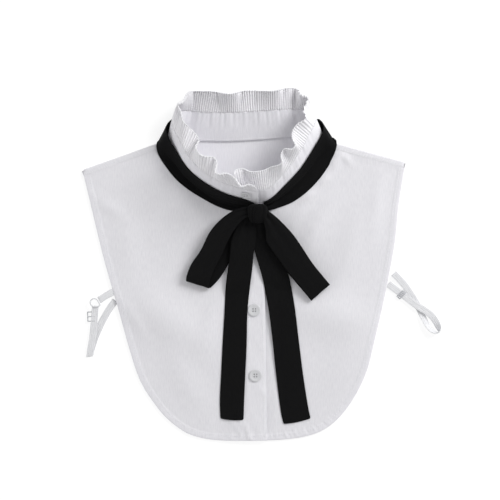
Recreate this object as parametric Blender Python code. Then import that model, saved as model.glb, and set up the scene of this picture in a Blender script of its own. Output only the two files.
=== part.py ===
"""A detachable blouse collar of white cotton, laid flat with its front up.

Two fronts with a button placket lie on the back panel. A stand collar with a finely pleated frill
leans away over the table, and a black ribbon round its foot is tied in a bow. Sizes are in
millimetres until solid() writes a mesh. Left and right are as seen from above: left is -X, and the
collar points to +Y. The table is z = 0.
"""

import math
from bisect import bisect_right

import bpy
from mathutils import Vector
from mathutils.geometry import delaunay_2d_cdt

MM = 0.001
GAP = 0.3  # between pieces that are sewn or lie together
REST = 0.7  # from a panel to the underside of a ribbon that lies on it

# Cloth
CLOTH = 1.1  # wall of the cotton panels and of the collar stand
PLACKET_EXTRA = 0.5  # how much thicker the folded placket is
RIBBON = 1.0
MESH_STEP, BACK_STEP = 12.5, 18.0  # between the points of the panels' meshes

# Collar
BAND_HEIGHT = 29.5
BAND_ROWS = (0, 0.33, 0.66, 0.965)  # of the height, clear of the frill at the top
FRILL_HEIGHT = 20.0
FRILL_CLOTH = 1.0
PLEATS = 148
PLEAT_DEPTH = 0.85  # to each side of the frill's middle
FRILL_ROWS = (0.06, 0.35, 0.7, 1)
BAND_STEP = 5.5

# Panels
FORWARD = 5.0  # the shoulder seam lies this far in front of the shoulder fold
BACK_MID = CLOTH / 2
FRONT_MID = CLOTH * 1.5 + GAP
FOLD_RADIUS = (FRONT_MID - BACK_MID) / 2
OVERLAP_RISE = CLOTH + GAP + 0.3  # the left front climbs over the right one
PLACKET_LEFT, PLACKET_RIGHT, UNDERLAP_LEFT = -3.0, 16.3, -5.0
NECK_CLEAR = 1.0  # from the foot of the collar to the edge of a panel
NECK_LIFT_REACH = 28.0
BACK_UNEVEN = 0.1  # how much thinner the back panel is in places
BACK_SHRINK = 0.996  # the back panel ends just inside the fronts
# Where on the collar's foot the panels' neck edges start and end
BACK_NECK, LEFT_NECK, RIGHT_NECK = (129, 278), (296, 402), (14, 114)

# Round the foot of the collar, from the end that lies under, on the right, to the end on top.
# columns: foot x, y, z and the x, y of the seam between collar stand and frill
COLLAR = (
    (-16.0, 46.9, 3.2, -15.0, 64.8),
    (-3.0, 43.6, 3.2, -2.0, 61.6),
    (9.0, 43.3, 3.2, 9.0, 60.0),
    (20.0, 46.5, 3.4, 19.0, 62.0),
    (32.0, 55.0, 3.5, 29.5, 72.0),
    (51.0, 73.0, 3.2, 45.0, 91.0),
    (68.0, 95.0, 2.6, 58.5, 115.0),
    (76.0, 104.6, 2.3, 65.5, 129.5),
    (73.5, 110.0, 2.25, 62.0, 137.5),
    (63.0, 111.8, 2.25, 53.0, 140.6),
    (42.0, 112.3, 2.25, 36.0, 140.6),
    (10.0, 110.2, 2.25, 9.0, 138.8),
    (-21.0, 108.6, 2.25, -20.0, 137.4),
    (-51.0, 109.2, 2.25, -46.5, 137.8),
    (-71.0, 110.4, 2.25, -65.5, 139.0),
    (-80.5, 109.8, 2.25, -74.5, 135.5),
    (-84.0, 104.8, 2.3, -77.5, 128.5),
    (-77.5, 94.0, 2.6, -71.5, 112.5),
    (-64.5, 75.5, 3.2, -59.5, 91.5),
    (-47.0, 60.0, 3.6, -42.5, 75.8),
    (-24.0, 48.0, 4.1, -20.0, 64.6),
    (8.5, 41.8, 4.8, 8.0, 57.8),
)

# The frill's free edge. columns: length along the collar's foot, x, y
FRILL_EDGE = (
    (0, -16.0, 75.0),
    (4, -14.5, 78.7),
    (11, -7.4, 80.6),
    (19, -0.5, 77.8),
    (26, 6.5, 77.5),
    (33, 14.0, 79.0),
    (40, 20.5, 82.0),
    (47, 28.5, 84.0),
    (54, 32.0, 87.0),
    (62, 30.8, 93.5),
    (69, 34.0, 99.9),
    (77, 41.0, 99.7),
    (84, 45.0, 103.5),
    (91, 42.0, 110.5),
    (99, 42.5, 118.5),
    (106, 47.5, 125.0),
    (113, 55.5, 130.5),
    (118, 53.6, 139.0),
    (123, 57.6, 149.0),
    (128, 57.0, 152.5),
    (135, 50.5, 155.0),
    (142, 47.5, 160.5),
    (154, 36.5, 161.2),
    (170, 24.0, 158.4),
    (186, 11.0, 158.6),
    (202, -6.0, 158.6),
    (218, -19.5, 155.4),
    (233, -35.0, 157.8),
    (250, -50.0, 158.4),
    (263, -61.0, 157.4),
    (274, -66.5, 147.5),
    (283, -71.6, 144.0),
    (291, -68.8, 137.5),
    (298, -66.4, 128.0),
    (306, -61.0, 122.0),
    (314, -53.5, 114.5),
    (320, -50.8, 108.5),
    (326, -53.7, 101.5),
    (333, -49.4, 94.5),
    (340, -42.5, 92.3),
    (347, -35.5, 91.5),
    (353, -33.0, 85.0),
    (359, -34.6, 77.5),
    (365, -30.0, 75.0),
    (372, -23.5, 75.8),
    (381, -15.5, 71.5),
    (389, -8.8, 62.8),
    (397, -1.0, 64.8),
    (403, 5.5, 61.5),
    (408, 8.6, 54.0),
)

# The ribbon round the neck. columns: length along the collar's foot, height of its upper edge on
# the collar stand, width, and how far its upper and lower edges stand off the collar
NECK_RIBBON = (
    (30, 9.0, 13.0, 1.5, 1.5),
    (40, 11.5, 17.5, 1.5, 1.8),
    (56, 13.2, 24.0, 1.6, 2.2),
    (83, 13.0, 26.0, 1.6, 2.8),
    (103, 14.0, 26.0, 1.8, 4.0),
    (113, 18.0, 26.0, 2.6, 6.0),
    (119, 23.0, 26.0, 4.6, 8.5),
    (126, 27.4, 26.0, 4.4, 6.8),
    (137, 27.3, 26.0, 3.0, 2.8),
    (200, 27.0, 26.0, 1.7, 1.7),
    (268, 27.0, 26.0, 2.4, 2.4),
    (279, 26.0, 26.0, 3.2, 6.5),
    (286, 24.0, 26.0, 4.6, 9.0),
    (293, 19.5, 25.0, 3.0, 7.0),
    (302, 16.0, 24.0, 1.8, 4.0),
    (320, 15.0, 22.5, 1.5, 3.0),
    (345, 15.5, 21.0, 1.5, 2.4),
    (372, 15.0, 20.5, 1.5, 2.0),
    (388, 13.5, 18.5, 1.5, 1.6),
    (400, 9.0, 13.0, 1.5, 1.5),
)

# Outlines of the garment. columns: x, y
RIGHT_SIDE = (
    (0.0, -190.8), (30.0, -189.7), (52.0, -187.0), (70.0, -181.5), (84.0, -172.3),
    (97.0, -158.0), (109.0, -138.5), (118.0, -117.0), (125.0, -88.0), (131.5, -61.0),
    (139.5, -22.0), (145.0, 10.0), (148.5, 45.0), (155.5, 88.0),
)  # fmt: skip
LEFT_SIDE = (
    (0.0, -190.8), (-30.0, -190.3), (-49.0, -187.7), (-65.0, -182.0), (-83.5, -167.8),
    (-97.8, -150.4), (-110.0, -130.0), (-119.6, -102.3), (-131.7, -58.9), (-144.7, -14.0),
    (-152.8, 18.2), (-158.5, 42.3), (-167.5, 80.0),
)  # fmt: skip
LEFT_NECK_POINT, RIGHT_NECK_POINT = Vector((-86.5, 107.6)), Vector((79.0, 107.2))
LEFT_TIP = Vector(LEFT_SIDE[-1]) - Vector((0.4, 1.4))
RIGHT_TIP = Vector(RIGHT_SIDE[-1]) - Vector((0.2, 1.4))

# Soft rises of the fronts. columns: x, y, heading in degrees, half length, half width, height
RISES = (
    (-66.0, -50.0, 8.0, 42.0, 15.0, 2.2),
    (-104.0, 20.0, 100.0, 38.0, 16.0, 1.7),
    (-58.0, -128.0, 125.0, 34.0, 13.0, 1.5),
    (66.0, -40.0, 25.0, 34.0, 13.0, 2.0),
    (108.0, 30.0, 78.0, 38.0, 13.0, 2.0),
    (84.0, -112.0, 68.0, 34.0, 14.0, 1.5),
    (98.0, 84.0, -60.0, 12.0, 6.0, 1.6),
)

# The bow. columns: one edge x, y, the other edge x, y, height above the table, crown
# A height of 0 stands for lying on the panels.
LEFT_LOOP = (
    (-3.9, 43.0, -3.7, 37.0, 18.0, 0.3),
    (-14.0, 40.5, -8.3, 32.0, 17.6, 0.8),
    (-28.0, 31.5, -15.5, 22.0, 16.5, 1.4),
    (-40.0, 18.0, -22.5, 8.5, 15.0, 1.6),
    (-49.0, 0.0, -28.5, -5.0, 13.0, 1.4),
    (-58.5, -14.0, -36.0, -19.5, 11.2, 1.2),
    (-63.3, -26.0, -40.6, -32.5, 9.6, 0.8),
    (-63.8, -31.0, -41.0, -37.8, 7.6, 0.5),
    (-62.0, -29.0, -39.0, -37.5, 5.9, 0.2),
    (-53.0, -14.0, -29.0, -26.5, 5.6, 0.0),
    (-44.0, 0.0, -21.8, -14.0, 5.6, 0.0),
    (-34.0, 13.0, -15.0, 2.0, 5.9, 0.0),
    (-22.0, 24.0, -10.0, 14.0, 7.0, 0.0),
    (-12.0, 31.5, -5.5, 24.5, 8.2, 0.0),
)
RIGHT_LOOP = (
    (18.7, 39.5, 18.6, 31.0, 18.2, 0.3),
    (26.0, 33.0, 17.0, 22.0, 17.4, 0.7),
    (34.5, 24.8, 16.8, 10.0, 16.0, 1.0),
    (43.3, 15.0, 21.8, 0.5, 14.6, 1.0),
    (51.0, 4.0, 29.0, -9.3, 13.0, 0.9),
    (62.0, -12.7, 38.5, -22.5, 11.3, 0.8),
    (73.0, -26.4, 51.0, -37.9, 9.7, 0.6),
    (79.0, -33.6, 60.3, -49.8, 8.4, 0.3),
    (79.9, -34.6, 61.2, -50.8, 7.3, 0.0),
    (79.0, -33.4, 60.2, -49.4, 6.2, 0.0),
    (72.0, -27.0, 50.5, -38.0, 6.7, 0.0),
    (61.0, -14.0, 38.0, -23.0, 8.2, 0.0),
    (50.0, 3.0, 29.0, -9.5, 9.7, 0.0),
    (42.0, 14.0, 22.0, 0.0, 10.8, 0.0),
    (33.0, 23.0, 17.5, 9.0, 11.6, 0.0),
    (25.5, 31.0, 17.8, 20.5, 12.8, 0.0),
    (18.9, 37.0, 18.8, 29.5, 14.0, 0.0),
)
LEFT_TAIL = (
    (-4.3, 36.5, -3.9, 32.0, 14.0, 0.2),
    (-7.6, 31.0, -1.6, 27.6, 11.8, 0.4),
    (-11.8, 24.8, 4.6, 26.4, 10.2, 0.4),
    (-15.0, 19.0, 6.6, 20.0, 10.0, 0.6),
    (-18.6, 9.0, 5.8, 9.0, 10.4, 0.6),
    (-20.0, -4.0, 3.6, -4.0, 9.6, 0.5),
    (-22.0, -18.0, 2.4, -18.0, 7.3, 0.4),
    (-24.2, -35.0, 0.2, -35.0, 6.1, 0.3),
    (-25.6, -62.0, -2.6, -62.0, 0.0, 0.3),
    (-27.5, -95.0, -3.4, -95.0, 0.0, 0.3),
    (-29.0, -125.0, -4.7, -125.0, 0.0, 0.3),
    (-30.2, -150.0, -5.8, -150.0, 0.0, 0.2),
    (-29.6, -168.5, -6.4, -169.8, 0.0, 0.2),
)
RIGHT_TAIL = (
    (4.0, 30.0, 14.0, 30.0, 7.9, 0.2),
    (2.6, 21.0, 17.6, 21.0, 8.3, 0.3),
    (4.0, 2.0, 27.0, 0.0, 8.6, 0.5),
    (8.0, -13.0, 33.0, -11.0, 7.2, 0.4),
    (12.4, -28.0, 38.8, -26.0, 6.2, 0.3),
    (18.0, -56.6, 44.4, -55.0, 0.0, 0.3),
    (22.1, -87.0, 48.6, -89.0, 0.0, 0.3),
    (26.2, -126.0, 53.3, -126.0, 0.0, 0.3),
    (30.8, -162.0, 58.4, -158.5, 0.0, 0.2),
    (33.6, -174.0, 60.6, -168.4, 0.0, 0.2),
)
KNOT_CENTRE, KNOT_TILT = Vector((7.5, 36.3, 18.2)), math.radians(28)
KNOT_HALF = Vector((10.6, 10.9, 4.9))
KNOT_CREASES = ((-0.55, 0.9), (-0.2, 0.6), (0.35, 0.8))  # place across, depth

# Buttons. columns: x, y
BUTTONS = ((4.2, 5.0), (4.2, -60.0), (5.4, -125.4))
BUTTON_RADIUS, BUTTON_RIM, BUTTON_THICK = 5.8, 1.3, 1.5
RIM_RISE, RIM_SLOPE = 0.6, 0.7
BUTTON_HOLE, BUTTON_HOLE_PITCH = 0.75, 1.35
COLLAR_BUTTON_AT, COLLAR_BUTTON_HEIGHT, COLLAR_BUTTON_RADIUS = 388.5, 20.5, 5.2

# Elastic straps, doubled back into a loop. columns: x, y, z, heading of the width in degrees
STRAP_WIDTH, STRAP_THICK = 6.8, 1.1
LEFT_STRAP = (
    (-139.2, -43.6, 2.6, 68.0),
    (-148.0, -47.0, 2.9, 72.0),
    (-155.5, -51.0, 3.0, 40.0),
    (-157.8, -60.0, 2.9, 6.0),
    (-158.4, -72.0, 2.8, 3.0),
    (-160.0, -100.0, 2.5, 6.0),
    (-160.3, -106.4, 1.7, 6.0),
    (-159.4, -100.0, 0.75, 6.0),
    (-154.6, -84.0, 0.7, -8.0),
    (-146.5, -66.0, 0.7, -28.0),
    (-138.6, -54.8, 0.7, -36.0),
)
RIGHT_STRAP = (
    (139.4, -34.8, 1.4, 52.0),
    (145.0, -40.0, 1.7, 47.0),
    (156.0, -51.0, 1.7, 45.0),
    (172.0, -66.5, 1.0, 46.0),
    (184.0, -80.0, 1.0, 46.0),
    (188.2, -84.6, 2.5, 46.0),
    (184.6, -78.0, 4.0, 44.0),
    (172.0, -60.0, 4.2, 40.0),
    (160.0, -44.0, 4.4, 38.0),
    (150.0, -30.5, 4.2, 40.0),
    (141.6, -21.5, 2.9, 52.0),
)
# Strap sliders. columns: x, y, z, heading of the strap in degrees
SLIDERS = {"slider_left": (-158.2, -66.5, 2.85, 92.0), "slider_right": (150.4, -45.4, 1.72, 135.0)}
SLIDER_DEEP, SLIDER_WALL = 4.2, 0.7

COTTON, COTTON_SHADE = (0.80, 0.80, 0.83, 1), (0.74, 0.74, 0.78, 1)
BLACK, PEARL, ELASTIC = (0.012, 0.012, 0.014, 1), (0.78, 0.78, 0.76, 1), (0.82, 0.82, 0.82, 1)


def curve_at(knots, rows, at):
    """The row at this place on the smooth curve through the rows."""
    last = len(knots) - 1
    i = max(0, min(last - 1, bisect_right(knots, at) - 1))

    def slope(k):
        low, high = max(k - 1, 0), min(k + 1, last)
        return (rows[high] - rows[low]) / (knots[high] - knots[low])

    span = knots[i + 1] - knots[i]
    t = (at - knots[i]) / span
    start, end = rows[i], rows[i + 1]
    return (
        start * (2 * t**3 - 3 * t**2 + 1)
        + end * (3 * t**2 - 2 * t**3)
        + slope(i) * (t**3 - 2 * t**2 + t) * span
        + slope(i + 1) * (t**3 - t**2) * span
    )


def lengths_along(points):
    """How far along the line through these points each of them is."""
    total = [0.0]
    for a, b in zip(points, points[1:]):
        total.append(total[-1] + (b - a).length)
    return total


def even(start, end, step):
    """Values from start to end, about a step apart."""
    count = max(1, round(abs(end - start) / step))
    return [start + (end - start) * i / count for i in range(count + 1)]


def smooth_line(points, step):
    """Points a step apart on the smooth curve through these."""
    points = [Vector(p) for p in points]
    knots = lengths_along(points)
    return [curve_at(knots, points, at) for at in even(0, knots[-1], step)]


def ease(value, low, high):
    """Rises softly from 0 at low to 1 at high."""
    t = max(0.0, min(1.0, (value - low) / (high - low)))
    return t * t * (3 - 2 * t)


FOOT = [Vector(row[:3]) for row in COLLAR]
SEAM_PLAN = [Vector(row[3:]) for row in COLLAR]
FOOT_KNOTS = lengths_along([point.xy for point in FOOT])
FOOT_LENGTH = FOOT_KNOTS[-1]
EDGE_KNOTS = [row[0] for row in FRILL_EDGE]
EDGE_PLAN = [Vector(row[1:]) for row in FRILL_EDGE]
RIBBON_KNOTS = [row[0] for row in NECK_RIBBON]
RIBBON_ROWS = [Vector(row[1:]) for row in NECK_RIBBON]


def risen(start, plan, length):
    """The point over this plan point that is a length away from the start."""
    across = (plan - start.xy).length
    rise = math.sqrt(max(length**2 - across**2, (0.05 * length) ** 2))
    return Vector((plan.x, plan.y, start.z + rise))


def foot(at):
    return curve_at(FOOT_KNOTS, FOOT, at)


def seam(at):
    """The seam between the collar stand and the frill."""
    return risen(foot(at), curve_at(FOOT_KNOTS, SEAM_PLAN, at), BAND_HEIGHT)


def frill_edge(at):
    return risen(seam(at), curve_at(EDGE_KNOTS, EDGE_PLAN, at), FRILL_HEIGHT)


def stand_frame(at):
    """The collar stand's foot, its upward direction and its outward normal."""
    low, high = max(at - 1.5, 0), min(at + 1.5, FOOT_LENGTH)
    along = (foot(high) + seam(high)) - (foot(low) + seam(low))
    up = (seam(at) - foot(at)).normalized()
    return foot(at), up, along.cross(up).normalized()


def outward(at):
    """The direction away from the neck, in plan."""
    low, high = max(at - 1.5, 0), min(at + 1.5, FOOT_LENGTH)
    along = foot(high) - foot(low)
    return Vector((along.y, -along.x, 0)).normalized()


def overlap_rise(x):
    return OVERLAP_RISE * ease(x, -34.0, -9.0)


FRONT_FOOT = [at for at in even(0, FOOT_LENGTH, 6) if at < 120 or at > 290]
NECK_LIFTS = [
    (foot(at), foot(at).z - FRONT_MID - (overlap_rise(foot(at).x) if at > 290 else 0))
    for at in FRONT_FOOT
]


def lift(x, y):
    """How far the fronts rise off the back panel at this place."""
    here = Vector((x, y))
    near, high = min(((point.xy - here).length, value) for point, value in NECK_LIFTS)
    total = high * math.exp(-((near / NECK_LIFT_REACH) ** 2))
    for rise_x, rise_y, heading, length, width, height in RISES:
        turn = math.radians(heading)
        dx, dy = x - rise_x, y - rise_y
        along = dx * math.cos(turn) + dy * math.sin(turn)
        across = dy * math.cos(turn) - dx * math.sin(turn)
        total += height * math.exp(-((along / length) ** 2) - (across / width) ** 2)
    return total


def left_front_point(x, y, side):
    double = PLACKET_EXTRA * ease(x, PLACKET_LEFT - 0.6, PLACKET_LEFT + 0.4)
    under = FRONT_MID - CLOTH / 2 + overlap_rise(x) + lift(x, y)
    return Vector((x, y, under + (CLOTH + double) * side))


def right_front_point(x, y, side):
    return Vector((x, y, FRONT_MID + CLOTH * (side - 0.5) + lift(x, y)))


def fronts_top(x, y):
    """The height that a ribbon lies on: the left front, easing down to the right one."""
    left, right = left_front_point(x, y, 1).z, right_front_point(x, y, 1).z
    return right + (left - right) * (1 - ease(x, PLACKET_RIGHT + 1.5, PLACKET_RIGHT + 13))


def shoulder(neck, tip, way):
    """The direction away from the garment, square to the shoulder line."""
    line = (tip - neck).normalized()
    return Vector((-line.y, line.x)) * way


def side_of_fold(x, y):
    """How far this place of the unfolded back panel lies beyond its shoulder fold."""
    for neck, tip, way in (
        (LEFT_NECK_POINT, LEFT_TIP, -1),
        (RIGHT_NECK_POINT, RIGHT_TIP, 1),
    ):
        if (x - neck.x) * way >= 0:
            out = shoulder(neck, tip, way)
            return (Vector((x, y)) - neck).dot(out), out
    return -1.0, Vector((0, 1))


def back_point(x, y, side):
    """Flat on the table, and rolled over the shoulder to the forward seam."""
    beyond, out = side_of_fold(x, y)
    half = CLOTH * (side - 0.5)
    if beyond <= 0:
        worn = BACK_UNEVEN * (1 + math.sin(x / 17 + 1.3) * math.sin(y / 14)) / 2
        return Vector((x, y, BACK_MID + half - worn * side * ease(-beyond, 0, 20)))
    base = Vector((x, y)) - out * beyond
    turn = min(beyond / FOLD_RADIUS, math.pi)
    reach = FOLD_RADIUS - half
    plan = base + out * (reach * math.sin(turn) - max(0, beyond - math.pi * FOLD_RADIUS))
    return Vector((plan.x, plan.y, BACK_MID + FOLD_RADIUS - reach * math.cos(turn)))


def solid(name, points, faces, colour, roughness=0.85):
    """One object from points in millimetres."""
    mesh = bpy.data.meshes.new(name)
    mesh.from_pydata([point * MM for point in points], [], faces)
    mesh.shade_smooth()
    mesh.set_sharp_from_angle(angle=math.radians(50))
    material = bpy.data.materials.new(name)
    material.use_nodes = True
    shader = material.node_tree.nodes["Principled BSDF"]
    shader.inputs["Base Color"].default_value = colour
    shader.inputs["Roughness"].default_value = roughness
    mesh.materials.append(material)
    obj = bpy.data.objects.new(name, mesh)
    bpy.context.scene.collection.objects.link(obj)
    return obj


def inside(point, loop):
    """Whether this plan point is inside the closed loop."""
    odd = False
    for a, b in zip(loop, loop[1:] + loop[:1]):
        if (a.y > point.y) != (b.y > point.y):
            odd ^= point.x < a.x + (b.x - a.x) * (point.y - a.y) / (b.y - a.y)
    return odd


def grid_inside(loops, step):
    """Evenly spread points inside the first loop, clear of its edge and of each line."""
    rim = [point for loop in loops for point in loop]
    low_x, high_x = min(p.x for p in rim), max(p.x for p in rim)
    low_y, high_y = min(p.y for p in rim), max(p.y for p in rim)
    found = []
    for row, y in enumerate(even(low_y, high_y, step * 0.87)):
        for x in even(low_x, high_x, step):
            point = Vector((x + step / 2 * (row % 2), y))
            clear = min((point - p).length for p in rim) > step * 0.62
            if clear and inside(point, loops[0]):
                found.append(point)
    return found


def panel(name, loops, lines, place, colour, step=MESH_STEP, **finish):
    """A wall of cloth inside the first loop, with a hole at each other loop."""
    points, edges = [], []
    for loop in loops:
        first, count = len(points), len(loop)
        points += loop
        edges += [(first + i, first + (i + 1) % count) for i in range(count)]
    points += [point for line in lines for point in line]
    points += grid_inside(loops + lines, step)
    inside_with_holes = 4
    plan, _, faces, *_ = delaunay_2d_cdt(points, edges, [], inside_with_holes, 1e-5)
    count = len(plan)
    solid_points = [place(p.x, p.y, side) for side in (1, 0) for p in plan]
    upper = [tuple(face) for face in faces]
    lower = [tuple(count + i for i in reversed(face)) for face in upper]
    used = {edge for face in upper for edge in zip(face, face[1:] + face[:1])}
    rim = [(b, a, count + a, count + b) for a, b in used if (b, a) not in used]
    return solid(name, solid_points, upper + lower + sorted(rim), colour, **finish)


def wall(name, surface, lengths, widths, thick, colour, ridge=None, **finish):
    """A wall on both sides of a surface, which is a function of a length and a width."""

    def normal(u, v):
        du = (lengths[-1] - lengths[0]) * 0.002
        dv = (widths[-1] - widths[0]) * 0.01
        u_low, u_high = max(u - du, lengths[0]), min(u + du, lengths[-1])
        v_low, v_high = max(v - dv, widths[0]), min(v + dv, widths[-1])
        along = surface(u_high, v) - surface(u_low, v)
        across = surface(u, v_high) - surface(u, v_low)
        return along.cross(across).normalized()

    outer, inner = [], []
    for u in lengths:
        for v in widths:
            way = normal(u, v)
            centre = surface(u, v) + way * (ridge(u, v) if ridge else 0)
            outer.append(centre + way * thick / 2)
            inner.append(centre - way * thick / 2)
    across, count = len(widths), len(outer)
    faces = []
    for i in range(len(lengths) - 1):
        for j in range(across - 1):
            a, b = i * across + j, (i + 1) * across + j
            faces += [(a, b, b + 1, a + 1), (count + a + 1, count + b + 1, count + b, count + a)]
        a, b = i * across, (i + 1) * across
        faces.append((count + a, count + b, b, a))
        a, b = a + across - 1, b + across - 1
        faces.append((a, b, count + b, count + a))
    for j in range(across - 1):
        a, b = j, count - across + j
        faces += [(a + 1, count + a + 1, count + a, a), (b, count + b, count + b + 1, b + 1)]
    return solid(name, outer + inner, faces, colour, **finish)


def outlines():
    """The closed outlines of the back and of the two fronts."""
    right_side = smooth_line(RIGHT_SIDE, MESH_STEP)
    left_side = smooth_line(LEFT_SIDE, MESH_STEP)
    left_out = shoulder(LEFT_NECK_POINT, LEFT_TIP, -1)
    right_out = shoulder(RIGHT_NECK_POINT, RIGHT_TIP, 1)
    bottom = RIGHT_SIDE[0][1]

    def shoulder_line(start, end, shift):
        return smooth_line((start + shift, end + shift), MESH_STEP)

    beyond = math.pi * FOLD_RADIUS + FORWARD
    back = [p * BACK_SHRINK for p in right_side[:-1]] + [RIGHT_TIP]
    back += shoulder_line(RIGHT_TIP, RIGHT_NECK_POINT, right_out * beyond)
    back.append(RIGHT_NECK_POINT + Vector((0.2, 0.0)))
    back += [foot(at).xy - Vector((0, NECK_CLEAR)) for at in even(*BACK_NECK, 12)]
    back.append(LEFT_NECK_POINT - Vector((0.2, 0.0)))
    back += shoulder_line(LEFT_NECK_POINT, LEFT_TIP, left_out * beyond)
    back += [LEFT_TIP] + [p * BACK_SHRINK for p in reversed(left_side[1:-1])]

    seam_line = -(FORWARD + GAP + 0.1)
    neck = [foot(at).xy + outward(at).xy * NECK_CLEAR for at in even(*LEFT_NECK, 8)]
    low, high = Vector((PLACKET_RIGHT + 1.0, bottom + 0.4)), Vector((PLACKET_RIGHT - 2.6, neck[-1].y))
    left = smooth_line((low, high), MESH_STEP) + list(reversed(neck))
    left += shoulder_line(LEFT_NECK_POINT, LEFT_TIP, left_out * seam_line)
    left += list(reversed([p for p in left_side if p.x < PLACKET_RIGHT][:-1]))

    neck = [foot(at).xy + outward(at).xy * NECK_CLEAR for at in even(*RIGHT_NECK, 8)]
    low, high = Vector((UNDERLAP_LEFT + 1.5, bottom + 1.0)), Vector((UNDERLAP_LEFT, neck[0].y))
    right = [p for p in right_side[:-1] if p.x > low.x + 4]
    right += shoulder_line(RIGHT_TIP, RIGHT_NECK_POINT, right_out * seam_line)
    right += list(reversed(neck)) + smooth_line((high, low), MESH_STEP)
    return back, left, right


def fold_lines():
    """Rows of points where the back panel turns over each shoulder."""
    rows = []
    for neck, tip, way in ((LEFT_NECK_POINT, LEFT_TIP, -1), (RIGHT_NECK_POINT, RIGHT_TIP, 1)):
        line, out = (tip - neck).normalized(), shoulder(neck, tip, way)
        for turn in (0, 1, 2, 3):
            shift = out * FOLD_RADIUS * math.pi * turn / 3
            rows.append(smooth_line((neck + line + shift, tip - line * 1.5 + shift), MESH_STEP))
    return rows


def make_panels():
    back, left, right = outlines()
    placket = [
        smooth_line(((x + 1.0, -187.0), (x, 36.0)), MESH_STEP)
        for x in (PLACKET_LEFT - 0.6, PLACKET_LEFT + 0.4)
    ]
    panel("back_panel", [back], fold_lines(), back_point, COTTON_SHADE, step=BACK_STEP)
    panel("front_left", [left], placket, left_front_point, COTTON)
    panel("front_right", [right], [], right_front_point, COTTON)


def make_collar():
    def stand(at, height):
        return foot(at).lerp(seam(at), height)

    def frill(at, height):
        return seam(at).lerp(frill_edge(at), height)

    def pleats(at, height):
        """Narrow pleats that open towards the free edge."""
        turn = at / FOOT_LENGTH * PLEATS * 2 * math.pi
        return PLEAT_DEPTH * (0.6 + 0.4 * height) * math.cos(turn)

    band_lengths = even(0, FOOT_LENGTH, BAND_STEP)
    wall("collar_band", stand, band_lengths, BAND_ROWS, CLOTH, COTTON)
    pleat_half = FOOT_LENGTH / PLEATS / 2
    frill_lengths = [pleat_half * i for i in range(PLEATS * 2 + 1)]
    wall("collar_frill", frill, frill_lengths, FRILL_ROWS, FRILL_CLOTH, COTTON, ridge=pleats)


def neck_ribbon_point(at, width):
    """From the ribbon's upper edge, on the collar stand, to its lower one, on the panels."""
    upper, wide, off_upper, off_lower = curve_at(RIBBON_KNOTS, RIBBON_ROWS, at)
    height = upper - wide * width
    off = off_upper + (off_lower - off_upper) * width
    base, up, out = stand_frame(at)
    if height >= 0:
        point = base + up * height + out * off
    else:
        point = base + outward(at) * (-height) + out * off
        resting = fronts_top(point.x, point.y) + REST + RIBBON / 2
        point.z = max(point.z - off * 0.5 * min(1, -height / 6), resting)
    point.z = max(point.z, RIBBON / 2 + 0.05)
    return point


def strip(name, rows, thick, colour, step=6.0, widths=(0, 0.25, 0.5, 0.75, 1)):
    """A ribbon between two edges. columns: edge x, y, other edge x, y, height, crown"""
    rows = [Vector(row) for row in rows]
    middles = [Vector(((row[0] + row[2]) / 2, (row[1] + row[3]) / 2, row[4])) for row in rows]
    knots = lengths_along(middles)

    def surface(at, width):
        ax, ay, bx, by, high, crown = curve_at(knots, rows, at)
        x, y = ax + (bx - ax) * width, ay + (by - ay) * width
        resting = fronts_top(x, y) + REST + thick / 2
        return Vector((x, y, max(high, resting) + crown * math.sin(math.pi * width)))

    lengths = sorted(set(even(0, knots[-1], step)) | set(knots))
    lengths = [at for i, at in enumerate(lengths) if i == 0 or at - lengths[i - 1] > 1.2]
    return wall(name, surface, lengths, widths, thick, colour, roughness=0.6)


def make_knot():
    """The wrap of ribbon over the middle of the bow, with its creases."""
    around, along = 24, 10
    tilt = Vector((0, math.cos(KNOT_TILT), math.sin(KNOT_TILT)))
    across, out = Vector((1, 0, 0)), Vector((1, 0, 0)).cross(tilt)
    points = []
    for i in range(1, along):
        place = -math.cos(math.pi * i / along)
        place = math.copysign(abs(place) ** 0.8, place)
        round_off = (1 - abs(place) ** 3.2) ** (1 / 3.2)
        for j in range(around):
            turn = 2 * math.pi * j / around
            x = math.copysign(abs(math.cos(turn)) ** 0.7, math.cos(turn))
            z = math.copysign(abs(math.sin(turn)) ** 0.8, math.sin(turn))
            dent = sum(
                depth * math.exp(-(((x - at - 0.1 * place) / 0.09) ** 2))
                for at, depth in KNOT_CREASES
            )
            high = (KNOT_HALF.z * z - (dent if z > 0.3 else 0)) * round_off
            points.append(
                KNOT_CENTRE
                + across * KNOT_HALF.x * x * round_off
                + tilt * KNOT_HALF.y * place
                + out * high
            )
    points += [KNOT_CENTRE - tilt * KNOT_HALF.y, KNOT_CENTRE + tilt * KNOT_HALF.y]
    rings, low, high = along - 1, len(points) - 2, len(points) - 1
    faces = []
    for j in range(around):
        k = (j + 1) % around
        faces += [(low, j, k), (high, (rings - 1) * around + k, (rings - 1) * around + j)]
        for i in range(rings - 1):
            a, b = i * around, (i + 1) * around
            faces.append((a + j, b + j, b + k, a + k))
    return solid("bow_knot", points, faces, BLACK, roughness=0.6)


def make_ribbon():
    lengths = even(RIBBON_KNOTS[0], RIBBON_KNOTS[-1], BAND_STEP)
    wall(
        "neck_ribbon", neck_ribbon_point, lengths, (0, 0.2, 0.4, 0.6, 0.8, 1), RIBBON, BLACK,
        roughness=0.6,
    )  # fmt: skip
    strip("bow_loop_left", LEFT_LOOP, RIBBON, BLACK)
    strip("bow_loop_right", RIGHT_LOOP, RIBBON, BLACK)
    strip("bow_tail_left", LEFT_TAIL, RIBBON, BLACK, step=12, widths=(0, 0.5, 1))
    strip("bow_tail_right", RIGHT_TAIL, RIBBON, BLACK, step=12, widths=(0, 0.5, 1))
    make_knot()


def circle(x, y, radius, count):
    turns = [2 * math.pi * i / count for i in range(count)]
    return [Vector((x + radius * math.cos(t), y + radius * math.sin(t))) for t in turns]


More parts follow.
